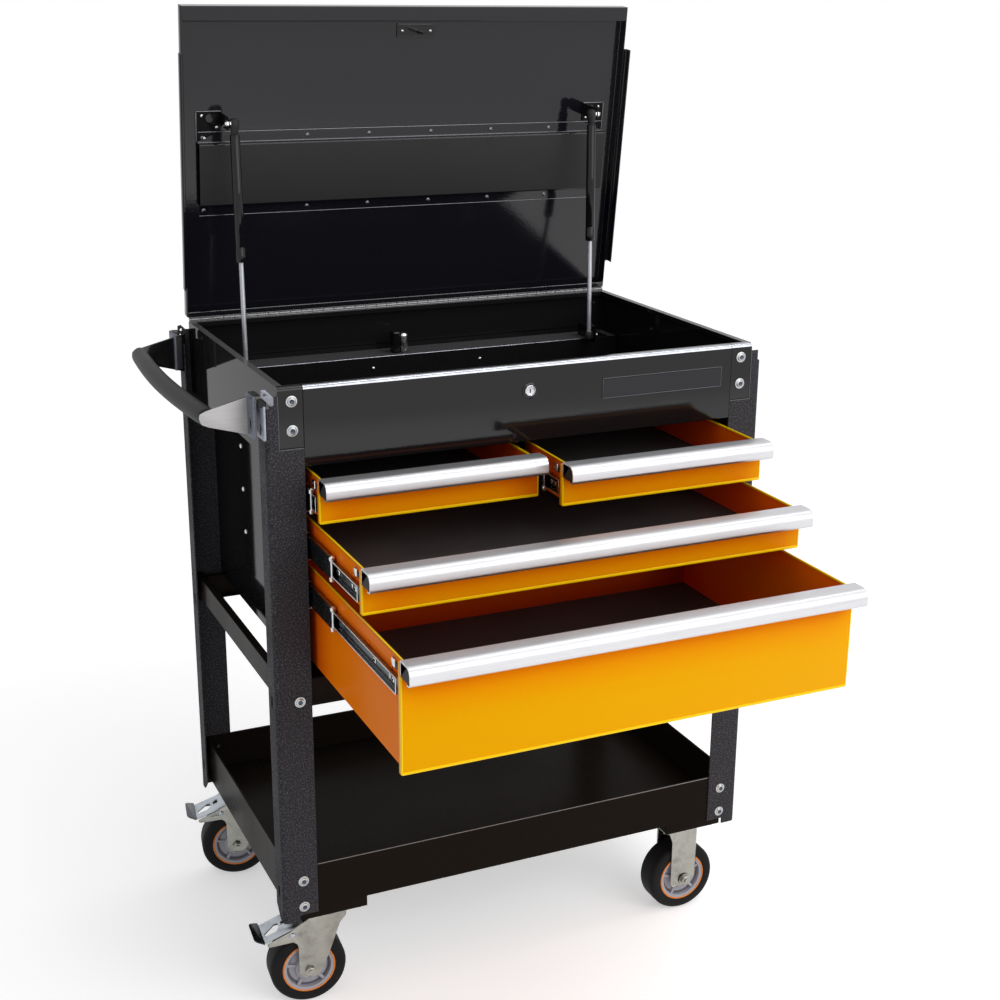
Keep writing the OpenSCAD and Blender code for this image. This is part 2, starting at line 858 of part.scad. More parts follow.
module swivel_fork() {
    zc = caster_z - 10;
    difference() {
        union() {
            for (y = [-leg_y - leg_t, leg_y])
                xz_plate(y, y + leg_t)
                    polygon([[27, zc], [-27, zc], [-69, zc - 21], [-108, zc - 40],
                        [-104, zc - 45], [-64, zc - 45], [-58, zc - 50], [-trail - 18, zc - 56],
                        [-trail - 18, wheel_r - 5], [-trail - 12, wheel_r - 11],
                        [-trail + 14, wheel_r - 11], [-trail + 20, wheel_r - 5],
                        [20, zc - 27], [27, zc - 17]]);
            block([-30, -leg_y - leg_t, zc - 4], [27, leg_y + leg_t, zc]);
            translate([0, 0, zc - 4]) cylinder(h = 4, r = 28);
            translate([-trail, 0, wheel_r]) axle();
        }
        translate([0, 0, zc - 10]) cylinder(h = 12, r = 6 + run_gap);
        translate([-65, 0, zc - 32]) y_bar(-40, 40, 3 + run_gap);
    }
}

module swivel_fork_front() {
    color("#bdbdb3") swivel_place(0) swivel_fork();
}

module swivel_fork_rear() {
    color("#bdbdb3") swivel_place(1) swivel_fork();
}

// brake pedal: two cheeks joined by a rounded end, on its pivot pin
module brake_pedal() {
    zp = caster_z - 42;
    yc = leg_y - 0.5;
    for (y = [-yc, yc - 2])
        xz_plate(y, y + 2)
            difference() {
                polygon([[-111, zp - 2], [-123, zp + 5], [-123, zp + 30], [-115, zp + 26],
                    [-80, zp + 38], [-60, zp + 28], [-56, zp + 8], [-58, zp - 5], [-70, zp - 5],
                    [-76, zp + 8], [-80, zp + 12]]);
                polygon([[-108, zp + 12], [-86, zp + 23], [-86, zp + 26], [-108, zp + 15]]);
            }
    difference() {
        translate([-118, 0, zp + 5]) cylinder(h = 25, r = yc);
        translate([-118, 0, zp]) cylinder(h = 40, r = yc - 2);
        block([-118, -40, zp], [0, 40, zp + 60]);
    }
    translate([-65, 0, zp]) {
        y_bar(-leg_y - leg_t - 1.5, leg_y + leg_t + 1.5, 3);
        for (y = [-leg_y - leg_t - 1.5, leg_y + leg_t]) y_bar(y, y + 1.5, 5);
    }
}

module brake_pedal_front() {
    color("#aab4bd") swivel_place(0) brake_pedal();
}

module brake_pedal_rear() {
    color("#aab4bd") swivel_place(1) brake_pedal();
}

module rigid_fork() {
    zc = caster_z - plate_t;
    for (y = [-leg_y - leg_t, leg_y])
        xz_plate(y, y + leg_t)
            polygon([[-35, zc], [-35, zc - 9], [-24, zc - 34], [-24, wheel_r - 12],
                [4, wheel_r - 12], [14, wheel_r - 4], [24, wheel_r + 8], [24, zc - 38],
                [35, zc - 9], [35, zc]]);
    block([-35, -leg_y - leg_t, zc - 3.5], [35, leg_y + leg_t, zc]);
    translate([0, 0, wheel_r]) axle();
}

module rigid_forks() {
    color("#bdbdb3")
        for (y = [-caster_y, caster_y]) translate([caster_x, y, 0]) rigid_fork();
}

// wheel about its axle along Y: black tread on a spoked core
module wheel() {
    w = wheel_w / 2;
    color("#1c1a1d")
        difference() {
            union() {
                rotate([90, 0, 0]) rotate_extrude() difference() {
                    polygon([[axle_r + 3, -w - 4.7], [16, -w - 4.7], [17, -w + 1], [38, -w + 3],
                        [41, -w], [wheel_r - 7, -w], [wheel_r - 1.5, -w + 5], [wheel_r, -6],
                        [wheel_r, 6], [wheel_r - 1.5, w - 5], [wheel_r - 7, w], [41, w],
                        [38, w - 3], [17, w - 1], [16, w + 4.7], [axle_r + 3, w + 4.7]]);
                    for (s = [-1, 1])
                        translate([17, s > 0 ? 4 : -w - 1]) square([21, w - 3]);
                }
                for (a = [0 : 60 : 179]) rotate([0, a, 0])
                    block([-39, -w + 4, -2.5], [39, w - 4, 2.5]);
            }
            y_bar(-40, 40, axle_r + run_gap);
        }
}

module wheel_front_left() {
    swivel_place(0) translate([-trail, 0, wheel_r]) wheel();
}

module wheel_rear_left() {
    swivel_place(1) translate([-trail, 0, wheel_r]) wheel();
}

module wheel_front_right() {
    translate([caster_x, -caster_y, wheel_r]) wheel();
}

module wheel_rear_right() {
    translate([caster_x, caster_y, wheel_r]) wheel();
}

// ---- fasteners ----

// flange head screw entering towards +Y
module post_screw() {
    y_bar(-3.2, 0, 8.5);
    y_bar(0, 8, screw_r);
}

module frame_bolts() {
    color("#c4c4bd") {
        for (m = [0, 1]) mirror([0, m, 0])
            both_sides()
                for (p = post_screws) translate([p[0], -post_y, p[1]]) post_screw();
        at_casters() for (p = caster_screws) translate([p[0], p[1], 0]) {
            translate([0, 0, caster_z - plate_t - 5]) cylinder(h = 5, r = 6.5, $fn = 6);
            translate([0, 0, caster_z - plate_t]) cylinder(h = 12, r = 4);
        }
    }
}

// ---- assembly ----

translate([x_shift, y_shift, 0]) {
    front_posts();
    rear_posts();
    frame_rails();
    tray();
    top_box_front();
    top_box_shell();
    top_box_floor();
    rear_ledge();
    cabinet_shell();
    badge_plate();
    lock_housing();
    lock_barrel();
    ledge_clip();
    handle_frame();
    handle_grip();
    handle_brackets();
    cabinet_slide_rails();
    hinge_leaf_box();
    hinge_pin();
    hinge_leaf_lid();
    lid_shell();
    lid_channel();
    lid_striker();
    lid_strut_brackets();
    box_strut_studs();
    mirror([1, 0, 0]) strut_rod();  // strut_rod_left
    strut_rod();  // strut_rod_right
    mirror([1, 0, 0]) strut_tube();  // strut_tube_left
    strut_tube();  // strut_tube_right
    drawer_box(1);  // drawer_1_box
    drawer_liner(1);  // drawer_1_liner
    drawer_pull(1);  // drawer_1_pull
    drawer_slides(1);  // drawer_1_slides
    drawer_middles(1);  // drawer_1_middles
    drawer_box(2);  // drawer_2_box
    drawer_liner(2);  // drawer_2_liner
    drawer_pull(2);  // drawer_2_pull
    drawer_slides(2);  // drawer_2_slides
    drawer_middles(2);  // drawer_2_middles
    drawer_box(3);  // drawer_3_box
    drawer_liner(3);  // drawer_3_liner
    drawer_pull(3);  // drawer_3_pull
    drawer_slides(3);  // drawer_3_slides
    drawer_middles(3);  // drawer_3_middles
    drawer_box(4);  // drawer_4_box
    drawer_liner(4);  // drawer_4_liner
    drawer_pull(4);  // drawer_4_pull
    drawer_slides(4);  // drawer_4_slides
    drawer_middles(4);  // drawer_4_middles
    caster_plates();
    swivel_fork_front();
    swivel_fork_rear();
    rigid_forks();
    brake_pedal_front();
    brake_pedal_rear();
    wheel_front_left();
    wheel_rear_left();
    wheel_front_right();
    wheel_rear_right();
    frame_bolts();
}
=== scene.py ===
import math

import bmesh
import bpy
import numpy as np
from mathutils import Matrix, Vector


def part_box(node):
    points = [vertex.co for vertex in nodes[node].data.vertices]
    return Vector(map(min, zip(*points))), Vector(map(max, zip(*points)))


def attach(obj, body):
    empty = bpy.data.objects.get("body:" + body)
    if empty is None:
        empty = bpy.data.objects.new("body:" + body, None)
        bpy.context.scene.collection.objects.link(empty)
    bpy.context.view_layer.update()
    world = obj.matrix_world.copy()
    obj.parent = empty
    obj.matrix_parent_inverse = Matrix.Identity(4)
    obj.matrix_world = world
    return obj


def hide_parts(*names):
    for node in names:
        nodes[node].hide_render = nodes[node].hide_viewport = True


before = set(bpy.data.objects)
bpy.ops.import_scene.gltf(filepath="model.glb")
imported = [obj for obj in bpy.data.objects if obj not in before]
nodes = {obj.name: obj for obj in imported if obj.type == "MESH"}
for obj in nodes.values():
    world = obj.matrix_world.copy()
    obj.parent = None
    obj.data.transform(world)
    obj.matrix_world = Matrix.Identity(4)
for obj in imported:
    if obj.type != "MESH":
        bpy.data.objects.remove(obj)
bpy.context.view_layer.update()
bpy.context.scene.view_settings.view_transform = "Standard"

# --- Camera ---
# It stands in front and to the left of the chest, a little above the rim, and looks down on it.

tray_lo, tray_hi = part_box("tray")
chest_x = (tray_lo.x + tray_hi.x) / 2
chest_y = (tray_lo.y + tray_hi.y) / 2


def at(x, y, z):
    """A place given in millimetres from the floor under the middle of the tray, as metres in the frame."""
    return Vector((chest_x + x / 1000, chest_y + y / 1000, z / 1000))


def stood(name, data):
    """A new object in the scene, at the origin."""
    made = bpy.data.objects.new(name, data)
    bpy.context.collection.objects.link(made)
    return made


YAW, PITCH, ROLL = 0.4297, 0.3107, 0.0082
look = Vector((math.sin(YAW) * math.cos(PITCH), math.cos(YAW) * math.cos(PITCH), -math.sin(PITCH)))
right = Vector((math.cos(YAW), -math.sin(YAW), 0))
up = right.cross(look)
right_rolled = right * math.cos(ROLL) + up * math.sin(ROLL)
up_rolled = up * math.cos(ROLL) - right * math.sin(ROLL)
camera_data = bpy.data.cameras.new("camera")
camera_data.lens = 57.18
camera_data.sensor_width = 36
camera_data.clip_end = 60
camera = stood("camera", camera_data)
turn = Matrix((right_rolled, up_rolled, -look)).transposed().to_4x4()
camera.matrix_world = Matrix.Translation(at(-1032.05, -2405.25, 1597.9)) @ turn
bpy.context.scene.camera = camera

# --- Studio ---
# A pale floor, a white surround that is dimmer behind and to the left, and two soft lamps.


def new_material(name):
    """An empty node material, returned with its node tree."""
    material = bpy.data.materials.new(name)
    material.use_nodes = True
    tree = material.node_tree
    tree.nodes.clear()
    return material, tree


def node(tree, kind, links=None, **values):
    """Adds a shader node. links sets inputs from (node, output) pairs, values sets attributes or inputs by name."""
    made = tree.nodes.new("ShaderNode" + kind)
    for key, value in values.items():
        if hasattr(made, key):
            setattr(made, key, value)
        else:
            made.inputs[key.replace("_", " ")].default_value = value
    for key, (source, output) in (links or {}).items():
        tree.links.new(source.outputs[output], made.inputs[key])
    return made


def ramp(tree, source, stops, output=0):
    """A colour ramp from (position, colour) stops over one output of a node."""
    made = node(tree, "ValToRGB", {"Fac": (source, output)})
    ends = made.color_ramp.elements
    for end, (position, colour) in ((ends[0], stops[0]), (ends[1], stops[-1])):
        end.position = position
        end.color = (*colour, 1)
    for position, colour in stops[1:-1]:
        ends.new(position).color = (*colour, 1)
    return made


def seen_directly(tree):
    """1 for camera, glossy and transmission rays, which meet the plain white background; 0 for light."""
    path = node(tree, "LightPath")
    either = node(tree, "Math", {0: (path, "Is Camera Ray"), 1: (path, "Is Glossy Ray")},
                  operation="MAXIMUM")
    return node(tree, "Math", {0: (either, 0), 1: (path, "Is Transmission Ray")}, operation="MAXIMUM")


FLOOR_REACH = 9
FLOOR_LIFT = 0.42
floor_mesh = bpy.data.meshes.new("floor")
floor_mesh.from_pydata([(x * FLOOR_REACH, y * FLOOR_REACH, 0) for x, y in ((-1, -1), (1, -1), (1, 1), (-1, 1))],
                       [], [(0, 1, 2, 3)])
floor = stood("floor", floor_mesh)
material, tree = new_material("studio_floor")
diffuse = node(tree, "BsdfDiffuse", Color=(0.93, 0.93, 0.93, 1))
lift = node(tree, "Math", {0: (seen_directly(tree), 0)}, operation="MULTIPLY")
lift.inputs[1].default_value = FLOOR_LIFT
glow = node(tree, "Emission", {"Strength": (lift, 0)})
both = node(tree, "AddShader", {0: (diffuse, "BSDF"), 1: (glow, "Emission")})
node(tree, "OutputMaterial", {"Surface": (both, "Shader")})
floor_mesh.materials.append(material)

world = bpy.data.worlds.new("studio")
bpy.context.scene.world = world
world.use_nodes = True
tree = world.node_tree
tree.nodes.clear()
direction = node(tree, "TexCoord")
side = node(tree, "SeparateXYZ", {"Vector": (direction, "Generated")})
lean = node(tree, "Math", {0: (side, "Y"), 2: (side, "X")}, operation="MULTIPLY_ADD")
lean.inputs[1].default_value = -0.55
surround = ramp(tree, lean, [(0.0, (0.50, 0.50, 0.51)), (0.6, (0.92, 0.92, 0.92))])
lit = node(tree, "Background", {"Color": (surround, "Color")}, Strength=1.0)
white = node(tree, "Background", Strength=1.0, Color=(1, 1, 1, 1))
sky = node(tree, "MixShader",
           {"Fac": (seen_directly(tree), 0), 1: (lit, "Background"), 2: (white, "Background")})
node(tree, "OutputWorld", {"Surface": (sky, "Shader")})


def soft_lamp(name, place, target, size, watts):
    """A rectangular area lamp at a place, turned towards a target."""
    data = bpy.data.lights.new(name, "AREA")
    data.shape = "RECTANGLE"
    data.size, data.size_y = size
    data.energy = watts
    lamp = stood(name, data)
    lamp.matrix_world = Matrix.Translation(place) @ (place - target).to_track_quat("Z", "Y").to_matrix().to_4x4()


soft_lamp("key", at(1200, -3100, 2000), at(0, -100, 700), (3.0, 2.2), 40)
soft_lamp("overhead", at(900, -700, 2900), at(900, -699, 0), (1.7, 0.26), 10)

# --- Corner posts ---
# Folded 2.5 mm steel angles under a coarse black powder coat, screwed to the top box, the rails
# and the tray.


def noise(tree, scale, detail=2.0, stretch=(1, 1, 1), roughness=0.5):
    """Noise on the piece's own metres; a small stretch draws the grain out along that axis."""
    place = node(tree, "TexCoord")
    squeeze = node(tree, "Mapping", {"Vector": (place, "Object")}, Scale=stretch)
    return node(tree, "TexNoise", {"Vector": (squeeze, "Vector")},
                Scale=scale, Detail=detail, Roughness=roughness)


def relief(tree, source, distance, strength=0.6):
    """A bump node: the texture's value times the distance in metres."""
    return node(tree, "Bump", {"Height": (source, "Fac")}, Distance=distance, Strength=strength)


def spread(tree, source, low, high, start=0.3, end=0.7, output="Fac"):
    """Maps a texture value from start..end to low..high."""
    return node(tree, "MapRange", {"Value": (source, output)},
                From_Min=start, From_Max=end, To_Min=low, To_Max=high)


def surface_shader(tree, colour, rough, bump, **constants):
    """Ends a material: colour, roughness and bump nodes into the surface shader, the rest fixed."""
    links = {"Base Color": (colour, "Color"), "Normal": (bump, "Normal")}
    if isinstance(rough, float):
        constants["Roughness"] = rough
    else:
        links["Roughness"] = (rough, "Result")
    shader = node(tree, "BsdfPrincipled", links, **constants)
    node(tree, "OutputMaterial", {"Surface": (shader, "BSDF")})


def powder_coat(name, dark, light):
    """Coarse powder coat: pebbles of about a millimetre whose tops catch grey light."""
    material, tree = new_material(name)
    pebbles = noise(tree, 400, 3.0, roughness=0.62)
    middle_tone = [(a + b) / 3 for a, b in zip(dark, light)]
    speck = ramp(tree, pebbles, [(0.36, dark), (0.52, middle_tone), (0.68, light)])
    rough = spread(tree, noise(tree, 14), 0.50, 0.66)
    surface_shader(tree, speck, rough, relief(tree, pebbles, 0.0010, 0.8), Specular_IOR_Level=0.05)
    return material


def dress(finish, *names, fold=0.0006, segments=2):
    """Gives CAD nodes their finish, and rounds their folded edges by the width in metres if it isn't 0."""
    for name in names:
        slots = nodes[name].data.materials
        for i in range(len(slots)):
            slots[i] = finish
        if fold:
            weld = nodes[name].modifiers.new("weld", "WELD")
            weld.merge_threshold = 1e-5
            bevel = nodes[name].modifiers.new("edges", "BEVEL")
            bevel.width = fold
            bevel.segments = segments
            bevel.limit_method = "ANGLE"
            bevel.angle_limit = math.radians(40)


post_coat = powder_coat("post_powder_coat", (0.020, 0.020, 0.022), (0.100, 0.096, 0.108))
dress(post_coat, "front_posts", "rear_posts", fold=0.0012)

# --- Rails and tray ---
# Folded sheet under a brownish semi-gloss black enamel. The tray is a pan with a hemmed edge, and
# the two caster channels are welded under it.


def enamel(name, colour, peel, gloss, specular=0.5, tint=(1, 1, 1), top=None):
    """Sprayed enamel: colour, orange peel height in metres, (low, high) roughness over soft smears;
    top is a lighter tone on faces that look straight up, partly dust and partly painted light from above."""
    material, tree = new_material(name)
    skin = noise(tree, 230, 2.0)
    smear = noise(tree, 5.5, 4.0)
    dust = noise(tree, 900, 1.0)
    shade = ramp(tree, dust, [(0.35, colour), (0.8, [min(1, c * 1.12 + 0.001) for c in colour])])
    if top:
        # Painted light from above: faces that look up lean to the lighter top tone, patchy with the dust noise.
        facing = node(tree, "NewGeometry")
        level = node(tree, "SeparateXYZ", {"Vector": (facing, "Normal")})
        upward_light = spread(tree, level, 0.12, 1.0, 0.8, 0.97, output="Z")
        dust_and_top_light = node(tree, "Math", {0: (upward_light, "Result"), 1: (dust, "Fac")}, operation="MULTIPLY")
        shade = ramp(tree, dust_and_top_light, [(0.05, colour), (0.5, top)])
    surface_shader(tree, shade, spread(tree, smear, *gloss), relief(tree, skin, peel),
                   Specular_Tint=(*tint, 1), Specular_IOR_Level=specular)
    return material


tray_enamel = enamel("tray_enamel", (0.0112, 0.0086, 0.0068), 0.00007, (0.24, 0.36), 0.018, (1.0, 0.86, 0.72))
dress(tray_enamel, "tray", "frame_rails")

# --- Post screws ---
# Zinc flange screws with a hexagon socket, five up each post, and plain hexagon screws under the
# caster plates.


def surface(points, cap=False):
    """Quads over a grid of points, row by row, with the last column joined to the first; cap fills the end rows."""
    n, m = points.shape[:2]
    index = np.arange(n * m).reshape(n, m)
    ahead = np.roll(index, -1, axis=1)
    faces = np.stack([index[:-1], index[1:], ahead[1:], ahead[:-1]], -1).reshape(-1, 4).tolist()
    if cap:
        faces += [index[0, ::-1].tolist(), index[-1].tolist()]
    return points.reshape(-1, 3), faces


def piece(name, parts, body, finishes, *replaced, sharp=32):
    """One object riding on its body, from parts: (points in chest millimetres, faces, finish number or numbers)."""
    mesh = bpy.data.meshes.new(name)
    points, faces, numbers, start = [], [], [], 0
    for part, quads, number in parts:
        points.append(np.asarray(part, float))
        faces += [[v + start for v in f] for f in quads]
        numbers += [number] * len(quads) if isinstance(number, int) else list(number)
        start += len(part)
    places = np.concatenate(points) / 1000 + (chest_x, chest_y, 0)
    mesh.from_pydata(places.tolist(), [], faces)
    mesh.polygons.foreach_set("material_index", numbers)
    for finish in finishes:
        mesh.materials.append(finish)
    form = bmesh.new()
    form.from_mesh(mesh)
    bmesh.ops.remove_doubles(form, verts=form.verts, dist=2e-6)
    bmesh.ops.recalc_face_normals(form, faces=form.faces)
    form.to_mesh(mesh)
    form.free()
    mesh.polygons.foreach_set("use_smooth", [True] * len(mesh.polygons))
    mesh.set_sharp_from_angle(angle=math.radians(sharp))
    made = stood(name, mesh)
    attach(made, body)
    if replaced:
        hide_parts(*replaced)


def turned(profile, centre, axis, steps=36, twist=0.0, finish=0):
    """A part: rows of (radius, height) turned about the axis; rows of (radius, height, 1) are hexagons."""
    axis = np.array(Vector(axis).normalized())
    across = np.array(Vector(axis).orthogonal().normalized())
    along = np.cross(axis, across)
    angle = np.arange(steps) * 2 * np.pi / steps + twist
    rows = np.array([(row + (0,))[:3] for row in profile], float)
    corner = np.cos(np.pi / 6) / np.cos((angle - twist) % (np.pi / 3) - np.pi / 6)
    radius = rows[:, :1] * np.where(rows[:, 2:3] > 0, corner[None], 1.0)
    ring = np.cos(angle)[:, None] * across + np.sin(angle)[:, None] * along
    points = np.array(centre, float) + radius[..., None] * ring[None] + rows[:, 1, None, None] * axis
    return (*surface(points), finish)


def plated(name, colour, gloss, spangle=90, metal=1.0, specular=0.5):
    """Plated pressed steel: soft mottling with a fine grain."""
    material, tree = new_material(name)
    cells = noise(tree, spangle, 4.0, roughness=0.65)
    fine = noise(tree, 1400, 2.0)
    shade = ramp(tree, cells, [(0.28, [c * 0.7 for c in colour]), (0.5, colour),
                               (0.75, [min(1, c * 1.12) for c in colour])])
    surface_shader(tree, shade, spread(tree, cells, *gloss), relief(tree, fine, 0.00005, 0.5),
                   Metallic=metal, Specular_IOR_Level=specular)
    return material


FACE = 260  # from the middle to the posts' and the box's outer face
CASTER_X, CASTER_Y = 334, 216.7  # the casters' places under the tray
screw_zinc = plated("screw_zinc", (0.47, 0.48, 0.48), (0.2, 0.42), 420)
# Painted shade: a dark disc over each screw's hexagon socket stands for the shade inside it.
socket_shade = plated("socket_shade", (0.07, 0.08, 0.11), (0.2, 0.35), 900)
socket_head = [(0, -0.6), (8.6, -0.6), (8.8, 0.3), (8.6, 0.9), (8.2, 1.1), (6.6, 1.2), (6.3, 1.6), (5.9, 2.4),
               (5.0, 3.0), (4.2, 3.2), (3.4, 3.2, 1), (3.1, 2.9, 1), (3.0, 1.4, 1), (0, 1.1)]
socket_floor = [(0, 2.2), (3.9, 2.2), (3.9, 3.35), (3.4, 3.5), (2.2, 2.9), (0, 2.7)]
hex_head = [(0, 0), (6.4, 0, 1), (6.6, 0.5, 1), (6.6, 4.4, 1), (6.1, 4.9, 1), (5.4, 5.0), (0, 5.0)]
heads = []
for side, front in ((-1, -1), (-1, 1), (1, -1), (1, 1)):
    for x, z in ((381, 1031), (381, 987), (387, 246), (387, 200), (383, 557)):
        line = (side * x, front * FACE, z), (0, front, 0)
        heads += [turned(socket_head, *line, twist=0.7 * x + z), turned(socket_floor, *line, 16, finish=1)]
    heads += [turned(hex_head, (side * CASTER_X + dx, front * CASTER_Y + dy, 173.5), (0, 0, -1), 24)
              for dx in (-43, 43) for dy in (-28, 28)]
piece("fasteners", heads, "chest", [screw_zinc, socket_shade], "frame_bolts")

# --- Trim of tray and posts ---
# Sheet aprons that close the caster channels flush with the tray's walls, a painted highlight strip
# along the top fold of the tray's hem, and painted highlight strips along the edges of the front posts' notches.


def rounded_box(lo, hi, radius, steps=4, finish=0):
    """A part: a block between two corners whose edges all turn over a radius, as loops of a rounded rectangle
    that are inset and drawn in at both ends."""
    lo, hi = np.minimum(lo, hi) * 1.0, np.maximum(lo, hi) * 1.0
    r = min(radius, *(hi - lo) * 0.49)
    quarter = np.arange(steps + 1) * np.pi / 2 / steps
    arc = r * np.sin(quarter)
    rise = r * (1 - np.cos(quarter))
    q = np.maximum(np.concatenate([arc, arc[::-1]]), 0.02)[:, None]
    angle = (np.arange(4)[:, None] * np.pi / 2 + quarter).ravel()
    near, far = lo + r, hi - r
    x = np.repeat([far[0], near[0], near[0], far[0]], steps + 1) + q * np.cos(angle)
    y = np.repeat([far[1], far[1], near[1], near[1]], steps + 1) + q * np.sin(angle)
    z = np.concatenate([lo[2] + rise, hi[2] - rise[::-1]])[:, None] + 0 * x
    return (*surface(np.stack([x, y, z], -1), cap=True), finish)


# Painted highlight: a lighter strip along the top fold of the tray's hem.
fold_highlight = enamel("tray_fold_bright", (0.19, 0.18, 0.17), 0.00003, (0.2, 0.3), 0.3)
trim = []
for front in (-1, 1):
    trim += [rounded_box((x0, front * 255.6, 174), (x0 + 110, front * 257.62, 193), 0.25, 2) for x0 in (-390, 280)]
    trim.append(rounded_box((-362, front * 257.0, 268.9), (362, front * 257.9, 270.4), 0.4, 2, 1))
piece("tray_aprons", trim, "chest", [tray_enamel, fold_highlight])
notch = []
for side in (-1, 1):
    for x0, x1, top in ((363.6, 401.6, 959.9), (400.8, 402.0, 1039)):
        notch.append(rounded_box((side * x0, -260.5, 958.4), (side * x1, -259.2, top), 0.4, 2))
# Painted highlight: lighter strips along the notch's lower and outer edges.
notch_highlight = enamel("post_notch_worn", (0.115, 0.112, 0.120), 0.00006, (0.4, 0.5), 0.1)
piece("post_notch_edges", notch, "chest", [notch_highlight])

# --- Top box and cabinet ---
# Folded sheet under full gloss black enamel with orange peel, with a rolled front rim, a screwed
# ledge and its clip at the rear, and a bare badge plate on the front.

gloss_black = enamel("gloss_black", (0.0062, 0.0060, 0.0068), 0.00010, (0.05, 0.12), 0.38)
side_coat = (0.0078, 0.0076, 0.0080), 0.00004, (0.035, 0.07), 0.045
side_black = enamel("side_black", *side_coat)
# The box shell and ledge paint a lighter tone on faces that look up: dust and painted light from above.
shell_black = enamel("shell_black", *side_coat, top=(0.085, 0.082, 0.086))
badge_black = enamel("badge_black", (0.0085, 0.0080, 0.0125), 0.00002, (0.05, 0.12), 0.42)
dress(badge_black, "badge_plate")
dress(shell_black, "top_box_shell", "rear_ledge")
dress(side_black, "top_box_floor", "cabinet_shell")


def rounded(corners, radius, steps=4):
    """A closed outline whose corners are rounded: each corner becomes an arc, radius per corner or one for all."""
    p = np.array(corners, float)
    radii = np.broadcast_to(np.array(radius, float), (len(p),))
    outline = []
    for k in range(len(p)):
        back, ahead = p[k - 1] - p[k], p[(k + 1) % len(p)] - p[k]
        lb, la = np.linalg.norm(back), np.linalg.norm(ahead)
        back, ahead = back / lb, ahead / la
        half = math.acos(np.clip(back @ ahead, -1, 1)) / 2
        reach = min(radii[k] / max(math.tan(half), 1e-6), lb * 0.48, la * 0.48)
        if reach < 0.02:
            outline.append(p[k])
            continue
        r = reach * math.tan(half)
        middle = p[k] + (back + ahead) / np.linalg.norm(back + ahead) * r / math.sin(half)
        a, b = p[k] + back * reach - middle, p[k] + ahead * reach - middle
        sweep = math.pi - 2 * half
        t = np.arange(steps + 1)[:, None] / steps
        outline += list(middle + (np.sin((1 - t) * sweep) * a + np.sin(t * sweep) * b) / math.sin(sweep))
    return np.array(outline)


def ribbon(path, thickness, radius, steps=6):
    """The section of a folded sheet: the path with rounded bends, moved half the thickness to each side."""
    path = np.array(path, float)
    radii = np.broadcast_to(np.array(radius, float), (len(path),)).copy()
    radii[[0, -1]] = 0
    line = rounded(path, radii, steps)
    run = np.gradient(line, axis=0)
    across = np.stack([-run[:, 1], run[:, 0]], -1) / np.linalg.norm(run, axis=1, keepdims=True) * thickness / 2
    return np.concatenate([line + across, (line - across)[::-1]])


def swept(section, start, end, axis, finish=0):
    """A part: a closed section carried straight along x (axis 0) or y (axis 1) from start to end."""
    rows = np.array([np.insert(section, axis, place, axis=1) for place in (start, end)])
    return (*surface(rows, cap=True), finish)


SHEET = 1.5
BEND = 5.2
# Painted highlight: a light metal finish on the rim's outer bend and the ledge's front edge stands for a bright
# reflection.
rim_highlight = plated("rim_highlight", (0.42, 0.43, 0.47), (0.12, 0.22), 40)


def rim_sheet(section, start, end, bright=1):
    """A sheet carried along x whose outer bend takes the painted highlight finish: faces more than the bend from its
    centre.
    """
    middle = (section + np.roll(section, -1, axis=0)) / 2
    away = middle - (section[:, 0].min() + BEND + SHEET / 2, section[:, 1].max() - BEND - SHEET / 2)
    outer = (np.hypot(away[:, 0], away[:, 1]) > BEND + 0.3) & (away[:, 0] < 1) & (away[:, 1] > -0.5)
    return swept(section, start, end, 0, (outer * bright).tolist() + [0, 0])


front_section = ribbon([(-248, 1052.2), (-259.25, 1052.2), (-259.25, 930.8), (-248, 930.8)], SHEET,
                       [0, BEND, 2.2, 0])
corner_section = ribbon([(-248, 1052.2), (-258.85, 1052.2), (-258.85, 960.6), (-256, 960.6)], SHEET,
                        [0, BEND, 0.8, 0])
panel = [rim_sheet(front_section, -363, 363), rim_sheet(corner_section, -402, -364, 0),
         rim_sheet(corner_section, 364, 402)]
piece("box_front_panel", panel, "chest", [gloss_black, rim_highlight], "top_box_front", sharp=50)
# Painted highlight strip along the ledge's front edge.
piece("ledge_front_edge", [rounded_box((-398, 192.5, 975.7), (398, 194.1, 977.5), 0.7, 3)], "chest", [rim_highlight])
# Painted highlight: lighter strips round the badge plate's edges.
border = [rounded_box((x0, -261.7, z0), (x1, -259.9, z1), 0.3, 2)
          for x0, z0, x1, z1 in ((127.6, 986, 343.4, 987.2), (127.6, 1017.8, 343.4, 1018.8),
                                 (126.6, 986, 127.6, 1018.8), (343.4, 986, 344.4, 1018.8))]
badge_edge_highlight = enamel("badge_edge_highlight", (0.085, 0.083, 0.095), 0.00002, (0.2, 0.3), 0.5)
piece("badge_border", border, "chest", [badge_edge_highlight])

bright_zinc = plated("bright_zinc", (0.66, 0.66, 0.65), (0.16, 0.3), 120)
dome = [(0, -0.2), (3.4, -0.2), (3.4, 0.4), (2.9, 1.4), (1.7, 2.2), (0, 2.5)]
wall_dome = [(0, -0.2), (4.0, -0.2), (4.0, 0.5), (3.2, 1.5), (1.8, 2.1), (0, 2.3)]
domes = [turned(dome, (x, 193, 957), (0, -1, 0), 20) for x in (-90.6, 116)]
domes += [turned(wall_dome, (side * 366.5, y, z), (side, 0, 0), 20)
          for side in (-1, 1) for y, z in ((81.7, 873.5), (77.7, 799.7), (73, 726), (157.6, 904.7))]
piece("box_rivets", domes, "chest", [bright_zinc])
clip = [rounded_box((-47, 206, 976.6), (-33.5, 227, 1016), 3.0),
        rounded_box((-33, 205, 976.6), (-19, 219, 1013), 5.5, 6, 1)]
piece("ledge_clip_leaves", clip, "chest", [gloss_black, bright_zinc], "ledge_clip")

# --- Lock ---
# A black flange in the box front with a chrome ring and a pin tumbler barrel in it.


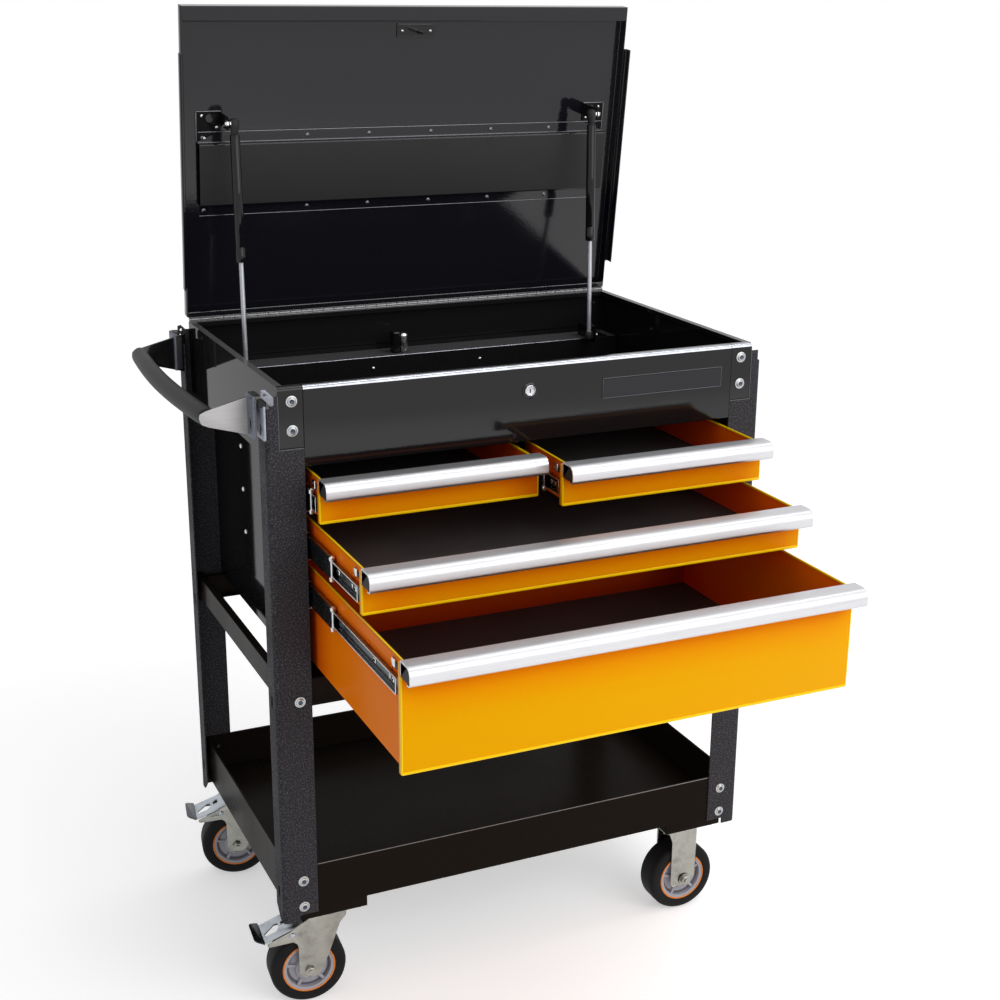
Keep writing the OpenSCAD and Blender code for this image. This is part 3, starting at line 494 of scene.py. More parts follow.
def soft_sheet(name, colour, grain=850, peak=1.6, specular=0.3):
    """Matt black soft sheet or moulding with a fine leather-like grain."""
    material, tree = new_material(name)
    pores = noise(tree, grain, 3.0)
    wear = noise(tree, 9, 3.0)
    shade = ramp(tree, wear, [(0.3, colour), (0.7, [c * peak for c in colour])])
    surface_shader(tree, shade, 0.6, relief(tree, pores, 0.00025), Specular_IOR_Level=specular)
    return material


chrome = plated("chrome_plate", (0.62, 0.62, 0.65), (0.06, 0.12), 30)
keyway_shade = soft_sheet("keyway_shade", (0.004, 0.004, 0.004))
LOCK_Z = 1011
lock_line = (0, -FACE, LOCK_Z), (0, -1, 0)
flange = [(8.8, 0), (12.6, 0), (13.0, 0.5), (12.6, 1.1), (9.6, 1.6), (8.8, 1.2), (8.8, -8), (9.4, -14), (11, -14),
          (11, -1)]
ring = [(7.6, 0.5), (8.9, 0.5), (9.1, 1.6), (8.7, 2.8), (8.0, 3.1), (7.6, 2.6), (7.55, 0.5)]
piece("lock_surround", [turned(flange, *lock_line), turned(ring, *lock_line, finish=1)], "chest",
      [gloss_black, chrome], "lock_housing")
barrel = [(0, -24), (6.5, -24), (7.4, -20), (7.5, 1.4), (6.9, 1.9), (5.6, 2.0), (5.3, 1.7), (3.0, 1.8), (0, 1.8)]
# Painted shade: a black block in the keyway's shape stands for the slot's dark depth.
keyway = np.array([[(x, y, LOCK_Z + z) for x, z in ((-0.8, -3.4), (0.8, -3.4), (0.8, 3.4), (-0.8, 3.4))]
                   for y in (-262.05, -261.05)])
piece("lock_barrel_face", [turned(barrel, *lock_line), (*surface(keyway, cap=True), 1)], "lock",
      [chrome, keyway_shade], "lock_barrel")

# --- Piano hinge ---
# Two rolled leaves of black steel, pinned, with many short knuckles along the rear rim and small
# bright rivets through the lid's leaf.

LID = math.radians(82.7)  # how far the lid stands open
HINGE_Y, HINGE_Z = 260, 1055
KNUCKLE = 20


def on_lid(points):
    """Turns points about the hinge line, which is the closed lid's origin, to the open lid."""
    c, s = math.cos(LID), math.sin(LID)
    return points @ np.array([(1, 0, 0), (0, c, -s), (0, s, c)]) + (0, HINGE_Y, HINGE_Z)


def placed(parts, move):
    """The parts with their points moved by a function."""
    return [(move(points), faces, finish) for points, faces, finish in parts]


hinge_black = plated("hinge_black", (0.16, 0.16, 0.165), (0.18, 0.34), 200)
knuckle = [(0, 0.3), (3.2, 0.3), (3.5, 0.7), (3.5, 19.3), (3.2, 19.7), (0, 19.7)]
small_dome = [(0, -0.2), (2.4, -0.2), (2.3, 0.5), (1.5, 1.2), (0, 1.5)]
rolls = [turned(knuckle, (-400 + KNUCKLE * i, HINGE_Y, HINGE_Z), (1, 0, 0), 14) for i in range(40)]
leaf = rounded_box((-400, -3.9, 0.6), (400, -2.5, 12), 0.5, 2)
rivets = [turned(small_dome, (-291 + 97 * i, -3.9, 8.5), (0, -1, 0), 14, finish=1) for i in range(7)]
piece("hinge_box_leaf", [rounded_box((-400, 256.0, 1041.2), (400, 257.4, 1054), 0.5, 2)] + rolls[::2], "chest",
      [hinge_black], "hinge_leaf_box")
piece("hinge_lid_leaf", placed([leaf], on_lid) + rolls[1::2] + placed(rivets, on_lid), "lid",
      [hinge_black, bright_zinc], "hinge_leaf_lid")
dress(chrome, "hinge_pin", fold=0)

# --- Lid ---
# A folded pan with side skirts under gloss black, a formed channel with a bare satin label screwed
# across it, bracket plates for the gas struts and a black striker with a hooked prong.


def oval(x, y, width, height, steps=20):
    """A slot outline: a circle drawn apart along its longer side."""
    r = min(width, height) / 2
    t = np.arange(steps) * 2 * np.pi / steps
    return np.stack([x + r * np.cos(t) + np.sign(np.cos(t)) * max(width / 2 - r, 0),
                     y + r * np.sin(t) + np.sign(np.sin(t)) * max(height / 2 - r, 0)], -1)


def blank(outlines, thickness, edge, cuts=()):
    """A flat blank in millimetres: the first outline filled, the others cut out of it, edges rounded over,
    and cross cuts at the given x for bending; its middle plane is z = 0."""
    curve = bpy.data.curves.new("blank", "CURVE")
    curve.dimensions = "2D"
    curve.fill_mode = "BOTH"
    curve.extrude = thickness / 2 - edge
    curve.bevel_depth = edge
    curve.bevel_resolution = 1
    curve.offset = -edge
    for outline in outlines:
        spline = curve.splines.new("POLY")
        spline.points.add(len(outline) - 1)
        spline.points.foreach_set("co", np.c_[outline, np.zeros(len(outline)), np.ones(len(outline))].ravel())
        spline.use_cyclic_u = True
    holder = bpy.data.objects.new("blank", curve)
    mesh = bpy.data.meshes.new_from_object(holder)
    form = bmesh.new()
    form.from_mesh(mesh)
    bmesh.ops.remove_doubles(form, verts=form.verts, dist=1e-4)
    for x in cuts:
        bmesh.ops.bisect_plane(form, geom=form.verts[:] + form.edges[:] + form.faces[:], dist=1e-4,
                               plane_co=(x, 0, 0), plane_no=(1, 0, 0))
    form.verts.index_update()
    points = np.array([v.co for v in form.verts])
    faces = [[v.index for v in f.verts] for f in form.faces]
    form.free()
    bpy.data.objects.remove(holder)
    bpy.data.curves.remove(curve)
    bpy.data.meshes.remove(mesh)
    return points, faces


def plate(outlines, thickness, edge, origin, across, finish=0, along=(0, 0, 1)):
    """A part: a blank turned so that its x runs across and its y along, from the origin."""
    points, faces = blank(outlines, thickness, edge)
    return points @ np.array((across, along, np.cross(across, along)), float) + origin, faces, finish


PLATE_Z = 17.4  # the middle of a plate on the inside of the lid's panel
lid_black = enamel("lid_black", (0.0064, 0.0064, 0.0092), 0.00012, (0.05, 0.13), 0.46)
dress(lid_black, "lid_shell", fold=0.0012, segments=3)
skins = []
for side in (-1, 1):
    skins += [rounded_box((side * 401.8, -519.2, 1.6), (side * 402.5, -4.2, 19.9), 0.3, 2),
              rounded_box((side * 407.8, -446.8, -11.9), (side * 408.5, -55.2, 1.4), 0.3, 2)]
piece("lid_side_skins", placed(skins, on_lid), "lid", [side_black])

label_satin = soft_sheet("label_satin", (0.0125, 0.0118, 0.0122), 300, 1.15)
# Painted highlight: light grey strips along the channel's lips and bends and the strut brackets' edges.
line_highlight = plated("lid_line_grey", (0.15, 0.15, 0.165), (0.2, 0.3), 60)
section = ribbon([(-316, 17.75), (-297.75, 17.75), (-297.75, 6.25), (-194.5, 6.25), (-194.5, 17.75),
                  (-175.5, 17.75)], SHEET, 2.6)
bottom = np.abs(section[:, 1] - 5.5) < 0.2
label = (bottom & np.roll(bottom, -1)).astype(int).tolist()
screw_low = [(0, -0.1), (3.4, -0.1), (3.3, 0.5), (2.4, 1.0), (1.2, 1.1), (1.0, 0.5), (0, 0.5)]
channel = [swept(section, -375, 380, 0, label + [0, 0])]
channel += [turned(screw_low, (x, y, 17.0), (0, 0, -1), 18, finish=2)
            for y in (-307, -185) for x in (-367, -186, -75, 40, 155, 270)]
# Painted highlight strips along the lips and bend lines.
channel += [rounded_box((-375, y0, z), (380, y1, z + 1.6), 0.5, 2, 3)
            for y0, y1, z in ((-316.9, -315.3, 16.2), (-299.6, -298.2, 15.6), (-176.3, -175.0, 16.2))]
piece("lid_channel_pressing", placed(channel, on_lid), "lid", [lid_black, label_satin, hinge_black, line_highlight],
      "lid_channel")

base = rounded([(336, -350), (378, -350), (378, -300), (336, -317)], [2, 3, 3, 2])
web = rounded([(-350, 17.5), (-350, -30), (-344, -41), (-334, -41), (-328, -30), (-328, 17.5)], [1, 8, 8, 8, 8, 1])
stud = [(0, 6.4), (2.6, 6.4), (3.0, 6.0), (3.0, 4.6), (5.4, 4.6, 1), (5.6, 4.2, 1), (5.6, 1.0, 1), (5.0, 0.9)]
shank = [(3, -9.3), (3, -4.6), (4.8, -4.4), (4.8, -0.9)]
brackets = []
for side in (-1, 1):
    brackets += [plate([base, oval(354, -338.5, 15, 15, 24)], 2.0, 0.45, (0, 0, PLATE_Z), (side, 0, 0), 0, (0, 1, 0)),
                 plate([web], 2.0, 0.45, (side * 337, 0, 0), (0, 1, 0)),
                 # Painted highlight strips along the bracket plate's edges.
                 rounded_box((side * 336, -350.8, 15.9), (side * 378, -349.2, 18.2), 0.5, 2, 2),
                 rounded_box((side * 377.5 - 0.8, -349, 15.9), (side * 377.5 + 0.8, -302, 18.2), 0.5, 2, 2)]
    brackets += [turned(small_dome, (side * x, y, 16.4), (0, 0, -1), 16, finish=1)
                 for x, y in ((368, -343), (364, -306), (343, -324))]
    brackets += [turned(profile, (side * 337, -339.8, -35.1), (side, 0, 0), 24, finish=1) for profile in (stud, shank)]
piece("lid_bracket_plates", placed(brackets, on_lid), "lid", [side_black, bright_zinc, line_highlight],
      "lid_strut_brackets")

foot = rounded([(-30, -490), (40, -490), (40, -466.5), (-30, -466.5)], 2.5)
prong = rounded([(-7, 17.5), (-7, -20), (-1, -38), (7, -28), (7, -17), (3, -17), (3, -8), (7, -8), (7, 17.5)],
                [0.5, 2, 3, 2, 1, 1, 1, 1, 0.5])
striker = [plate([foot], 2.0, 0.6, (0, 0, PLATE_Z), (1, 0, 0), 0, (0, 1, 0)),
           plate([prong], 2.6, 0.5, (0, -480, 0), (1, 0, 0))]
striker += [turned(small_dome, (x, -478, 16.4), (0, 0, -1), 16, finish=1) for x in (-20, 31)]
piece("lid_striker_plate", placed(striker, on_lid), "lid", [gloss_black, bright_zinc], "lid_striker")

# --- Gas struts ---
# A gloss black tube with a swaged collar over a chromed rod, a dark moulded socket at each end and
# a zinc ball stud through the bracket on the ledge.

STRUT_X = 327.5
strut_black = enamel("strut_black", (0.006, 0.006, 0.0072), 0.00002, (0.06, 0.12), 0.30)
rod_chrome = plated("rod_chrome", (0.44, 0.45, 0.48), (0.25, 0.35), 30, 0.4, 0.3)
socket_grey = soft_sheet("socket_grey", (0.010, 0.010, 0.010), 600, 1.5)
low_ball, high_ball = np.array((171.0, 987.0)), np.array((182.0, 1387.6))
strut_axis = (0, *(high_ball - low_ball))
rod = [(0, 5), (3.9, 5), (3.9, 203.5), (3.3, 204.5), (0, 204.5)]
low_socket = [(0, -8.2), (3.6, -8.2), (6.6, -5.6), (7.6, -2), (7.6, 3), (6.2, 6.4), (4.6, 7.4), (0, 7.6)]
tube = [(4.6, -18), (7.4, -18), (8.3, -19.5), (8.3, -199), (7.6, -200.2), (8.1, -201), (8.6, -201.6), (8.6, -223),
        (7.9, -224.8), (4.6, -225), (4.6, -18)]
high_socket = [(0, -17.9), (5.6, -17.9), (6.3, -17), (6.5, -9), (7.7, -6.6), (8.0, -2), (8.0, 4), (6.8, 6.8),
               (4, 8.4), (0, 8.4)]
halves = ("rod", low_ball, rod, low_socket, 24, rod_chrome), ("tube", high_ball, tube, high_socket, 32, strut_black)
for side, hand in ((-1, "left"), (1, "right")):
    for kind, ball, length, cap, steps, finish in halves:
        line = (side * STRUT_X, *ball), strut_axis
        piece(f"strut_{kind}_{hand}_dressed", [turned(length, *line, steps), turned(cap, *line, 24, finish=1)],
              f"strut_{kind}_{hand}", [finish, socket_grey], f"strut_{kind}_{hand}", sharp=40)
dress(gloss_black, "box_strut_studs", fold=0)
stud_nut = [(0, 0), (5.6, 0, 1), (5.8, 0.5, 1), (5.8, 3.8, 1), (5.0, 4.4), (3.0, 4.4), (3.0, 6.2), (0, 6.4)]
piece("ledge_stud_nuts", [turned(stud_nut, (side * 338.4, *low_ball), (side, 0, 0), 24) for side in (-1, 1)],
      "chest", [bright_zinc])

# --- Slides ---
# Ball bearing slides in three members of black-zinc steel, rolled to channels, with bright sheared
# ends, caged balls and punched slots near the front.

# For each drawer: left, right, top, height and face of its front; its tub's side walls; the height of
# its slides; and where its middle members start.
DRAWERS = {1: (-358.3, -5.0, 925.0, 70.6, -306.5), 2: (5.0, 358.3, 925.0, 70.6, -367.0),
           3: (-358.3, 358.3, 847.6, 70.6, -483.0), 4: (-358.3, 358.3, 770.2, 168.2, -628.0)}
TUBS = {1: (-352.3, -13.5), 2: (13.5, 352.3), 3: (-352.3, 352.3), 4: (-352.3, 352.3)}
SLIDE_Z = {1: 880.0, 2: 880.0, 3: 804.0, 4: 726.0}
MIDDLE_Y = {1: -272.25, 2: -302.5, 3: -360.5, 4: -359.8}
SLIDE = 450  # length of a slide
STEEL = 1.2  # its thickness, and the depth of its bright sheared end


def slide_member(x, out, z, y0, y1, near, far, half, lip):
    """Two parts: a channel's dark length and its bright sheared end. Its C section has the web at the far side
    and lips back to the near side, their edges turned in; near and far are counted out from the wall x."""
    inward = (1 if far > near else -1) * STEEL / 2
    tip, web, edge = near + inward, far - inward, half - STEEL / 2
    section = ribbon([(tip, edge - lip), (tip, edge), (web, edge), (web, -edge), (tip, -edge), (tip, lip - edge)],
                     STEEL, 1.0) * (out, 1) + (x, z)
    slope = np.abs(np.roll(section, -1, axis=0) - section)
    # Painted highlight: faces that run across, the channel's top and bottom flanges, take the lighter lip finish.
    flat = (slope[:, 1] < slope[:, 0] * 1.5).astype(int).tolist()
    return [swept(section, y0 + STEEL, y1, 1, flat + [0, 0]), swept(section, y0, y0 + STEEL, 1, 2)]


def beside(x, out, near, far, y0, y1, z0, z1, radius, steps=2, finish=2):
    """A part: a rounded block whose near and far sides are counted out from the wall x."""
    return rounded_box((x + out * near, y0, z0), (x + out * far, y1, z1), radius, steps, finish)


slide_zinc = plated("slide_black_zinc", (0.040, 0.048, 0.054), (0.16, 0.32), 60)
lip_highlight_zinc = plated("slide_lip_zinc", (0.30, 0.31, 0.31), (0.16, 0.3), 90)
slide_finishes = [slide_zinc, lip_highlight_zinc, bright_zinc]
fixed = []
for x, out, *levels in ((-352.3, -1, 880, 804, 726), (352.3, 1, 880, 804, 726), (-13.5, 1, 880), (13.5, -1, 880)):
    for z in levels:
        fixed += slide_member(x, out, z, -250, SLIDE - 250, 4.0, 12.7, 22.5, 1.2)
piece("cabinet_slide_channels", fixed, "chest", slide_finishes, "cabinet_slide_rails")
for k in DRAWERS:
    y0, y_front, z = MIDDLE_Y[k], DRAWERS[k][-1] + 17, SLIDE_Z[k]
    middles, inners = [], []
    for x, out in zip(TUBS[k], (-1, 1)):
        middles += slide_member(x, out, z, y0, y0 + SLIDE, 1.8, 8.2, 17, 0.6)
        for up in (-1, 1):
            for depth, rise, r in ((4.2, 14.0, 1.9), (6.4, 18.6, 2.0)):
                ball = [(max(r * math.sin(a), 0.01), -r * math.cos(a)) for a in np.linspace(0, np.pi, 9)]
                middles.append(turned(ball, (x + out * depth, y0 + r, z + up * rise), (0, 1, 0), 14, finish=2))
            middles += [beside(x, out, 1.4, 10.5, y0 - 1.5, y0 + 6, z + up * 11.5, z + up * 19.5, 2.4, 3),
                        beside(x, out, 3.2, 5.3, y0 + 4, y0 + 440, z + up * 12.4, z + up * 15.4, 0.6, finish=0)]
        middles.append(beside(x, out, 5.4, 8.6, y0 - 1, y0 + 5, z - 13, z + 13, 1.2, 3))
        inners += slide_member(x, out, z, y_front, y_front + 445, 6.5, 0.0, 12, 1.6)
        inners += [beside(x, out, 6.0, 7.1, y_front - 1, y_front + 440, z + up * 10.9, z + up * 12.3, 0.5)
                   for up in (-1, 1)]
        inners.append(beside(x, out, 6.0, 7.1, y_front - 1.5, y_front + 0.5, z - 12.3, z + 12.3, 0.5))
        for slot, length in ((16, 9), (30, 6), (86, 12)):
            y = y_front + slot
            inners += [beside(x, out, 1.1, 2.4, y, y + length, z - 3.4, z + 3.4, 0.6),
                       rounded_box((x + out * 1.75 - 0.65, y + 2, z - 2),
                                   (x + out * 1.75 + 0.75, y + length - 2, z + 2), 0.4, 2)]
    piece(f"drawer_{k}_middle_members", middles, f"middle_{k}", slide_finishes, f"drawer_{k}_middles")
    piece(f"drawer_{k}_inner_members", inners, f"drawer_{k}", slide_finishes, f"drawer_{k}_slides")

# --- Drawers ---
# Folded sheet under orange-yellow gloss enamel, a boxed front with rolled edges, a tub with hemmed
# walls, a black liner, a brushed aluminium pull and a spring catch at the left.


def drawer_enamel(name, specular, tones):
    """Gloss enamel with painted shade and bounce light: its colour deepens towards red where ambient occlusion finds
    walls close by.
    """
    material, tree = new_material(name)
    skin = noise(tree, 230, 2.0)
    smear = noise(tree, 5.5, 4.0)
    # Painted shade: the ambient occlusion value picks the deeper, redder tones.
    hemmed = node(tree, "AmbientOcclusion", samples=8, Distance=0.09)
    shade = ramp(tree, hemmed, list(zip((0.30, 0.55, 0.80, 1.0), tones)), "AO")
    surface_shader(tree, shade, spread(tree, smear, 0.16, 0.24), relief(tree, skin, 0.00004),
                   Specular_Tint=(1.0, 0.62, 0.05, 1), Specular_IOR_Level=specular)
    return material


def brushed(name, colour, grain, gloss, metal=1.0):
    """Bare metal brushed along x: long streaks in roughness, tint and height."""
    material, tree = new_material(name)
    streak = noise(tree, grain, 3.0, (0.012, 1, 1), 0.7)
    shade = ramp(tree, streak, [(0.3, [c * 0.86 for c in colour]), (0.7, colour)])
    surface_shader(tree, shade, spread(tree, streak, *gloss), relief(tree, streak, 0.00002, 0.5), Metallic=metal)
    return material


# Lit and shaded copies of one orange enamel: the front keeps the lit colour; the tub's sides, insides and back wall are
# painted redder and darker as painted shade and bounce light.
front_orange, side_shade_orange, inside_shade_orange, back_shade_orange = [
    drawer_enamel(f"drawer_{wall}_orange", specular, tones) for wall, specular, *tones in (
        ("front", 0.08, (0.72, 0.060, 0.001), (0.88, 0.130, 0.001), (0.88, 0.240, 0.001), (0.84, 0.385, 0.001)),
        ("side", 0.012, (0.66, 0.075, 0.002), (0.80, 0.120, 0.002), (0.86, 0.165, 0.001), (0.88, 0.205, 0.001)),
        ("inside", 0.03, (0.95, 0.042, 0.003), (1.0, 0.118, 0.002), (1.0, 0.165, 0.002), (0.98, 0.195, 0.002)),
        ("back", 0.03, (0.42, 0.022, 0.003), (0.62, 0.065, 0.002), (0.75, 0.100, 0.002), (0.88, 0.130, 0.002)))]
# Painted highlight: a lighter yellow for the hems and the front's rolled edges, where they catch the light.
hem_highlight_yellow = enamel("drawer_hem_yellow", (0.98, 0.60, 0.0016), 0.00004, (0.14, 0.22), 0.3, (1.0, 0.75, 0.2))
liner_black = soft_sheet("liner_black", (0.056, 0.050, 0.049), 850, 1.3)
dress(liner_black, *[f"drawer_{k}_liner" for k in DRAWERS], fold=0)
pull_metal = brushed("pull_aluminium", (0.66, 0.66, 0.68), 900, (0.34, 0.46))
# This black serves the spring catch and the painted shade inside the pulls.
catch_and_shade_black = soft_sheet("catch_and_shade_black", (0.006, 0.006, 0.006))
# Painted shade: the pull's inner faces and the plugs in its open ends are black, standing for the dark hollow.
pull = ribbon([(-0.9, -21.5), (-0.9, -1.1), (-33.6, -1.1), (-33.6, -26.2), (-23.5, -26.2)], 2.2,
              [0, 0.9, 12.5, 8.5, 0], 8)
pull_shade_faces = [1] * (len(pull) // 2) + [0] * (len(pull) // 2 + 2)
pull_end_shade = rounded([(-1.6, -2.0), (-32.6, -2.0), (-32.6, -24.5), (-1.6, -24.5)], [0.5, 11.5, 3.0, 0.5], 8)
for k, (x0, x1, top, height, y0) in DRAWERS.items():
    t0, t1 = TUBS[k]
    y1, back, z0, slide = y0 + 12, y0 + 465, top - height, SLIDE_Z[k]
    # Finish 3 paints highlights on the front's rolled bottom and side edges and the hems; inner faces (2) and the back
    # wall (6) take painted shade.
    box = [rounded_box((x0, y0, z0), (x1, y1 - 2, top - 5), 2.0),
           rounded_box((x0 + 0.5, y0 - 0.5, z0 - 0.2), (x1 - 0.5, y0 + 6, z0 + 5.6), 2.2, finish=3)]
    box += [rounded_box((x, y0 - 0.35, z0 + 1), (x + 3, y0 + 5, top - 24), 1.4, 3, 3) for x in (x0 - 0.1, x1 - 2.9)]
    section = ribbon([(t0 + 0.75, top - 6), (t0 + 0.75, z0 + 4.75), (t1 - 0.75, z0 + 4.75), (t1 - 0.75, top - 6)],
                     SHEET, 2.5)
    half = len(section) // 2
    box += [swept(section, y1 - 3, back, 1, [2] * half + [1] * (half + 2)),
            rounded_box((t0 + 1.4, back - 1.5, z0 + 4.5), (t1 - 1.4, back, top - 5.5), 0.5, 2, 6)]
    box += [rounded_box((h0, y, top - 8.4), (h1, back, top - 4.6), 1.5, finish=3)
            for h0, h1, y in ((t0, t0 + 3.2, y0 + 0.6), (t1 - 3.2, t1, y0 + 0.6), (t0 + 1, t1 - 1, back - 3.2))]
    box += [beside(x, out, -0.3, 1.1, y, y + 9, slide + 13.2, slide + 18, 1.0, 3, 1)
            for x, out in ((t0, -1), (t1, 1)) for y in (y1 + 31, y1 + 119, y1 + 300)]
    box += [rounded_box((t0 - 3.4, y1 + 17, slide + 20.2), (t0 + 0.2, y1 + 29, top - 12), 1.5, 3, 4),
            rounded_box((t0 - 2.8, y1 + 1, slide + 20.7), (t0 + 0.2, y1 + 16.6, top - 15), 1.2, 3, 5)]
    piece(f"drawer_{k}_shell", box, f"drawer_{k}",
          [front_orange, side_shade_orange, inside_shade_orange, hem_highlight_yellow, bright_zinc, catch_and_shade_black, back_shade_orange],
          f"drawer_{k}_box")
    bar = [swept(pull + (y0, top), x0, x1, 0, pull_shade_faces)]
    bar += [swept(pull_end_shade + (y0, top), x, x + 1.6, 0, 1) for x in (x0 + 0.9, x1 - 2.5)]
    piece(f"drawer_{k}_pull_extrusion", bar, f"drawer_{k}", [pull_metal, catch_and_shade_black], f"drawer_{k}_pull", sharp=40)

# --- Push handle ---
# Two sheet wings, satin outside and black inside, a bowed rubber grip between them, and zinc
# brackets with long holes on the post sides.

satin = brushed("handle_satin", (0.50, 0.49, 0.49), 420, (0.5, 0.6), 0.2)
bracket_zinc = plated("bracket_zinc", (0.17, 0.18, 0.215), (0.35, 0.5), 260, 0.1, 0.06)
# Painted light: the inner bracket plate gets a lighter zinc copy to make up for the outer plate's shade.
plate_lit_zinc = plated("bracket_plate_zinc", (0.40, 0.43, 0.50), (0.35, 0.5), 260, 0.1, 0.06)
link_zinc = plated("link_zinc", (0.25, 0.26, 0.30), (0.25, 0.45), 300, 0.4, 0.3)
for end, y, outside, more in (("front", -223.5, -1, 0), ("rear", 223.5, 1, 19)):
    wing = rounded([(-436 + more, 978.5 - 0.28 * more), (-436 + more, 1035.5 + 0.25 * more), (-499, 1019.5),
                    (-507.5, 1016), (-508.5, 1009), (-505, 1000), (-494, 995)], [1, 1, 8, 5, 5, 6, 8])
    points, faces, _ = plate([wing], 3.0, 0.5, (0, y, 0), (1, 0, 0))
    inner = [int(np.mean(points[f, 1]) * outside <= y * outside + 1.2) for f in faces]
    piece(f"handle_wing_{end}", [(points, faces, inner)], "chest", [satin, gloss_black], "handle_frame")

grip_rubber = soft_sheet("grip_rubber", (0.012, 0.012, 0.0125), 500)
along = np.linspace(0, 1, 49)[:, None]
angle = np.arange(28)[None] * 2 * np.pi / 28
bow = 11 * np.sin(np.pi * along) ** 0.9
swell = 14.2 + 0.9 * np.sin(np.pi * along) - 1.2 * np.exp(-(along / 0.02) ** 2)
swell = swell * np.sqrt(np.clip(1 - ((along - 0.985) / 0.015).clip(0, 1) ** 2, 0.02, 1))
grip = np.stack([-496.5 - bow + swell * 0.93 * np.cos(angle), -221.6 + 443.2 * along + 0 * angle,
                 1010.5 + swell * np.sin(angle)], -1)
piece("handle_grip_cover", [(*surface(grip, cap=True), 0)], "chest", [grip_rubber], "handle_grip", sharp=60)

link = rounded([(-428, 1053), (-422, 1054), (-409.5, 1041), (-409.5, 1029), (-414, 1028), (-423, 1038), (-428, 1043)],
               1.5)
sheets = [(-435.5, 216, 255, 978, 1041, (236, 998, 15, 19), 0), (-422.6, 226.5, 264, 976, 1030, (243, 990, 14, 18), 3)]
blocks = [(-437, -431, 217, 254, 1037, 1041, 1.2, 0), (-434.5, -424, 222, 249, 1040.4, 1042.4, 0.8, 1),
          (-433.9, -424.2, 216.5, 221.5, 981, 1036, 1.2, 1), (-430.5, -419, 251, 263.5, 1026.5, 1037.5, 1.5, 1)]
brackets = []
# Painted shade: the rear link takes the black rubber finish, standing for its shaded face; the front one is zinc.
for front, link_y, link_finish_rear_shade in ((-1, -265.6, 2), (1, 228, 1)):
    for x, near, far, foot, tall, hole, finish in sheets:
        outline = rounded([(near * front, foot), (far * front, foot), (far * front, tall), (near * front, tall - 4)], 3)
        brackets.append(plate([outline, oval(hole[0] * front, *hole[1:])], 3.0, 0.5, (x, 0, 0), (0, 1, 0), finish))
    brackets += [rounded_box((x0, near * front, z0), (x1, far * front, z1), r, 2, finish)
                 for x0, x1, near, far, z0, z1, r, finish in blocks]
    brackets.append(plate([link, oval(-422.5, 1046, 4.4, 4.4, 12)], 3.0, 0.6, (0, link_y, 0), (1, 0, 0), link_finish_rear_shade))
piece("handle_side_brackets", brackets, "chest", [bracket_zinc, grip_rubber, link_zinc, plate_lit_zinc],
      "handle_brackets")

# --- Wheels ---
# A black rubber tyre with a fine line on its shoulder, an orange band and a grey spoked hub, on a
# bolted axle. The far half is moved out, so that the tread is two inches wide.

FAR = 14.0  # how far the far half of a wheel or fork is moved out
AXLE_X, AXLE_Z = -38, 63.5  # behind the swivel's middle, and above the floor
SWIVEL = {"front": math.radians(-4.9), "rear": math.radians(-9.6)}
CASTER_ROW = {"front": -CASTER_Y, "rear": CASTER_Y}
tread = soft_sheet("tread_rubber", (0.0075, 0.0070, 0.0072), 420, specular=0.12)
band_orange = enamel("band_orange", (0.78, 0.22, 0.02), 0.00003, (0.3, 0.45), 0.3)
hub_grey = enamel("hub_grey", (0.36, 0.355, 0.395), 0.00005, (0.34, 0.5), 0.4)
# Painted shade: the hub's web between the spokes is darker, standing for shade in its pockets.
hub_painted_shade = enamel("hub_painted_shade", (0.115, 0.115, 0.13), 0.00005, (0.34, 0.5), 0.3)
tyre = [(43.6, 15.2), (45.5, 16.0), (52, 16.2), (57.5, 15.8), (60.6, 14.3), (62.3, 11.8), (62.9, 9.4), (63.4, 9.1),
        (63.4, 8.5), (63.0, 8.2), (63.35, 5.0), (63.5, 0)]
band = [(41.6, 15.6), (42.1, 16.2), (43.7, 16.2), (44.3, 15.4)]
hub = [(14.5, 20.6), (15.6, 20.7), (16.2, 20.0), (16.6, 17.2), (21.6, 15.6), (22.2, 15.0), (22.3, 8.0), (36.4, 7.0),
       (36.8, 13.6), (37.4, 14.4), (41.2, 15.0), (41.7, 15.5)]
wheel = []
for half, finish in ((tyre, 0), (band, 1), (hub, 2)):
    whole = half + [(r, -h) for r, h in half[::-1]]
    if finish:
        whole = [(half[0][0] - 0.4, 0)] + half + [(half[-1][0] - 0.1, 0)] + whole[len(half):]
    wheel.append(turned(whole + whole[:1], (0, 0, 0), (0, 1, 0), 72, finish=finish))
for turn in 0.42 + np.arange(5) * 2 * np.pi / 5:
    c, s = math.cos(turn), math.sin(turn)
    wheel += placed([rounded_box((20, -12.5, -2.6), (38, 12.5, 2.6), 1.4, 3, 2)],
                    lambda p: p @ np.array([(c, 0, s), (0, 1, 0), (-s, 0, c)]))
wheel += [turned([(22.0, side * 6.9), (22.0, side * 7.3), (36.6, side * 7.3), (36.6, side * 6.9)], (0, 0, 0),
                 (0, 1, 0), 72, finish=3) for side in (-1, 1)]
wheel = placed(wheel, lambda p: p + (p[:, 1:2] > 0.5) * (0, FAR, 0))


def on_swivel(points, end):
    """Turns points from a swivel caster's own frame, trail towards -X, and moves them to its place."""
    c, s = math.cos(SWIVEL[end]), math.sin(SWIVEL[end])
    return points @ np.array([(c, s, 0), (-s, c, 0), (0, 0, 1)]) + (-CASTER_X, CASTER_ROW[end], 0)


for end, row in CASTER_ROW.items():
    for hand, move in (("left", lambda p: on_swivel(p + (AXLE_X, 0, AXLE_Z), end)),
                       ("right", lambda p: p + (CASTER_X, row, AXLE_Z))):
        piece(f"wheel_{end}_{hand}_dressed", placed(wheel, move), f"wheel_{end}_{hand}",
              [tread, band_orange, hub_grey, hub_painted_shade], f"wheel_{end}_{hand}")

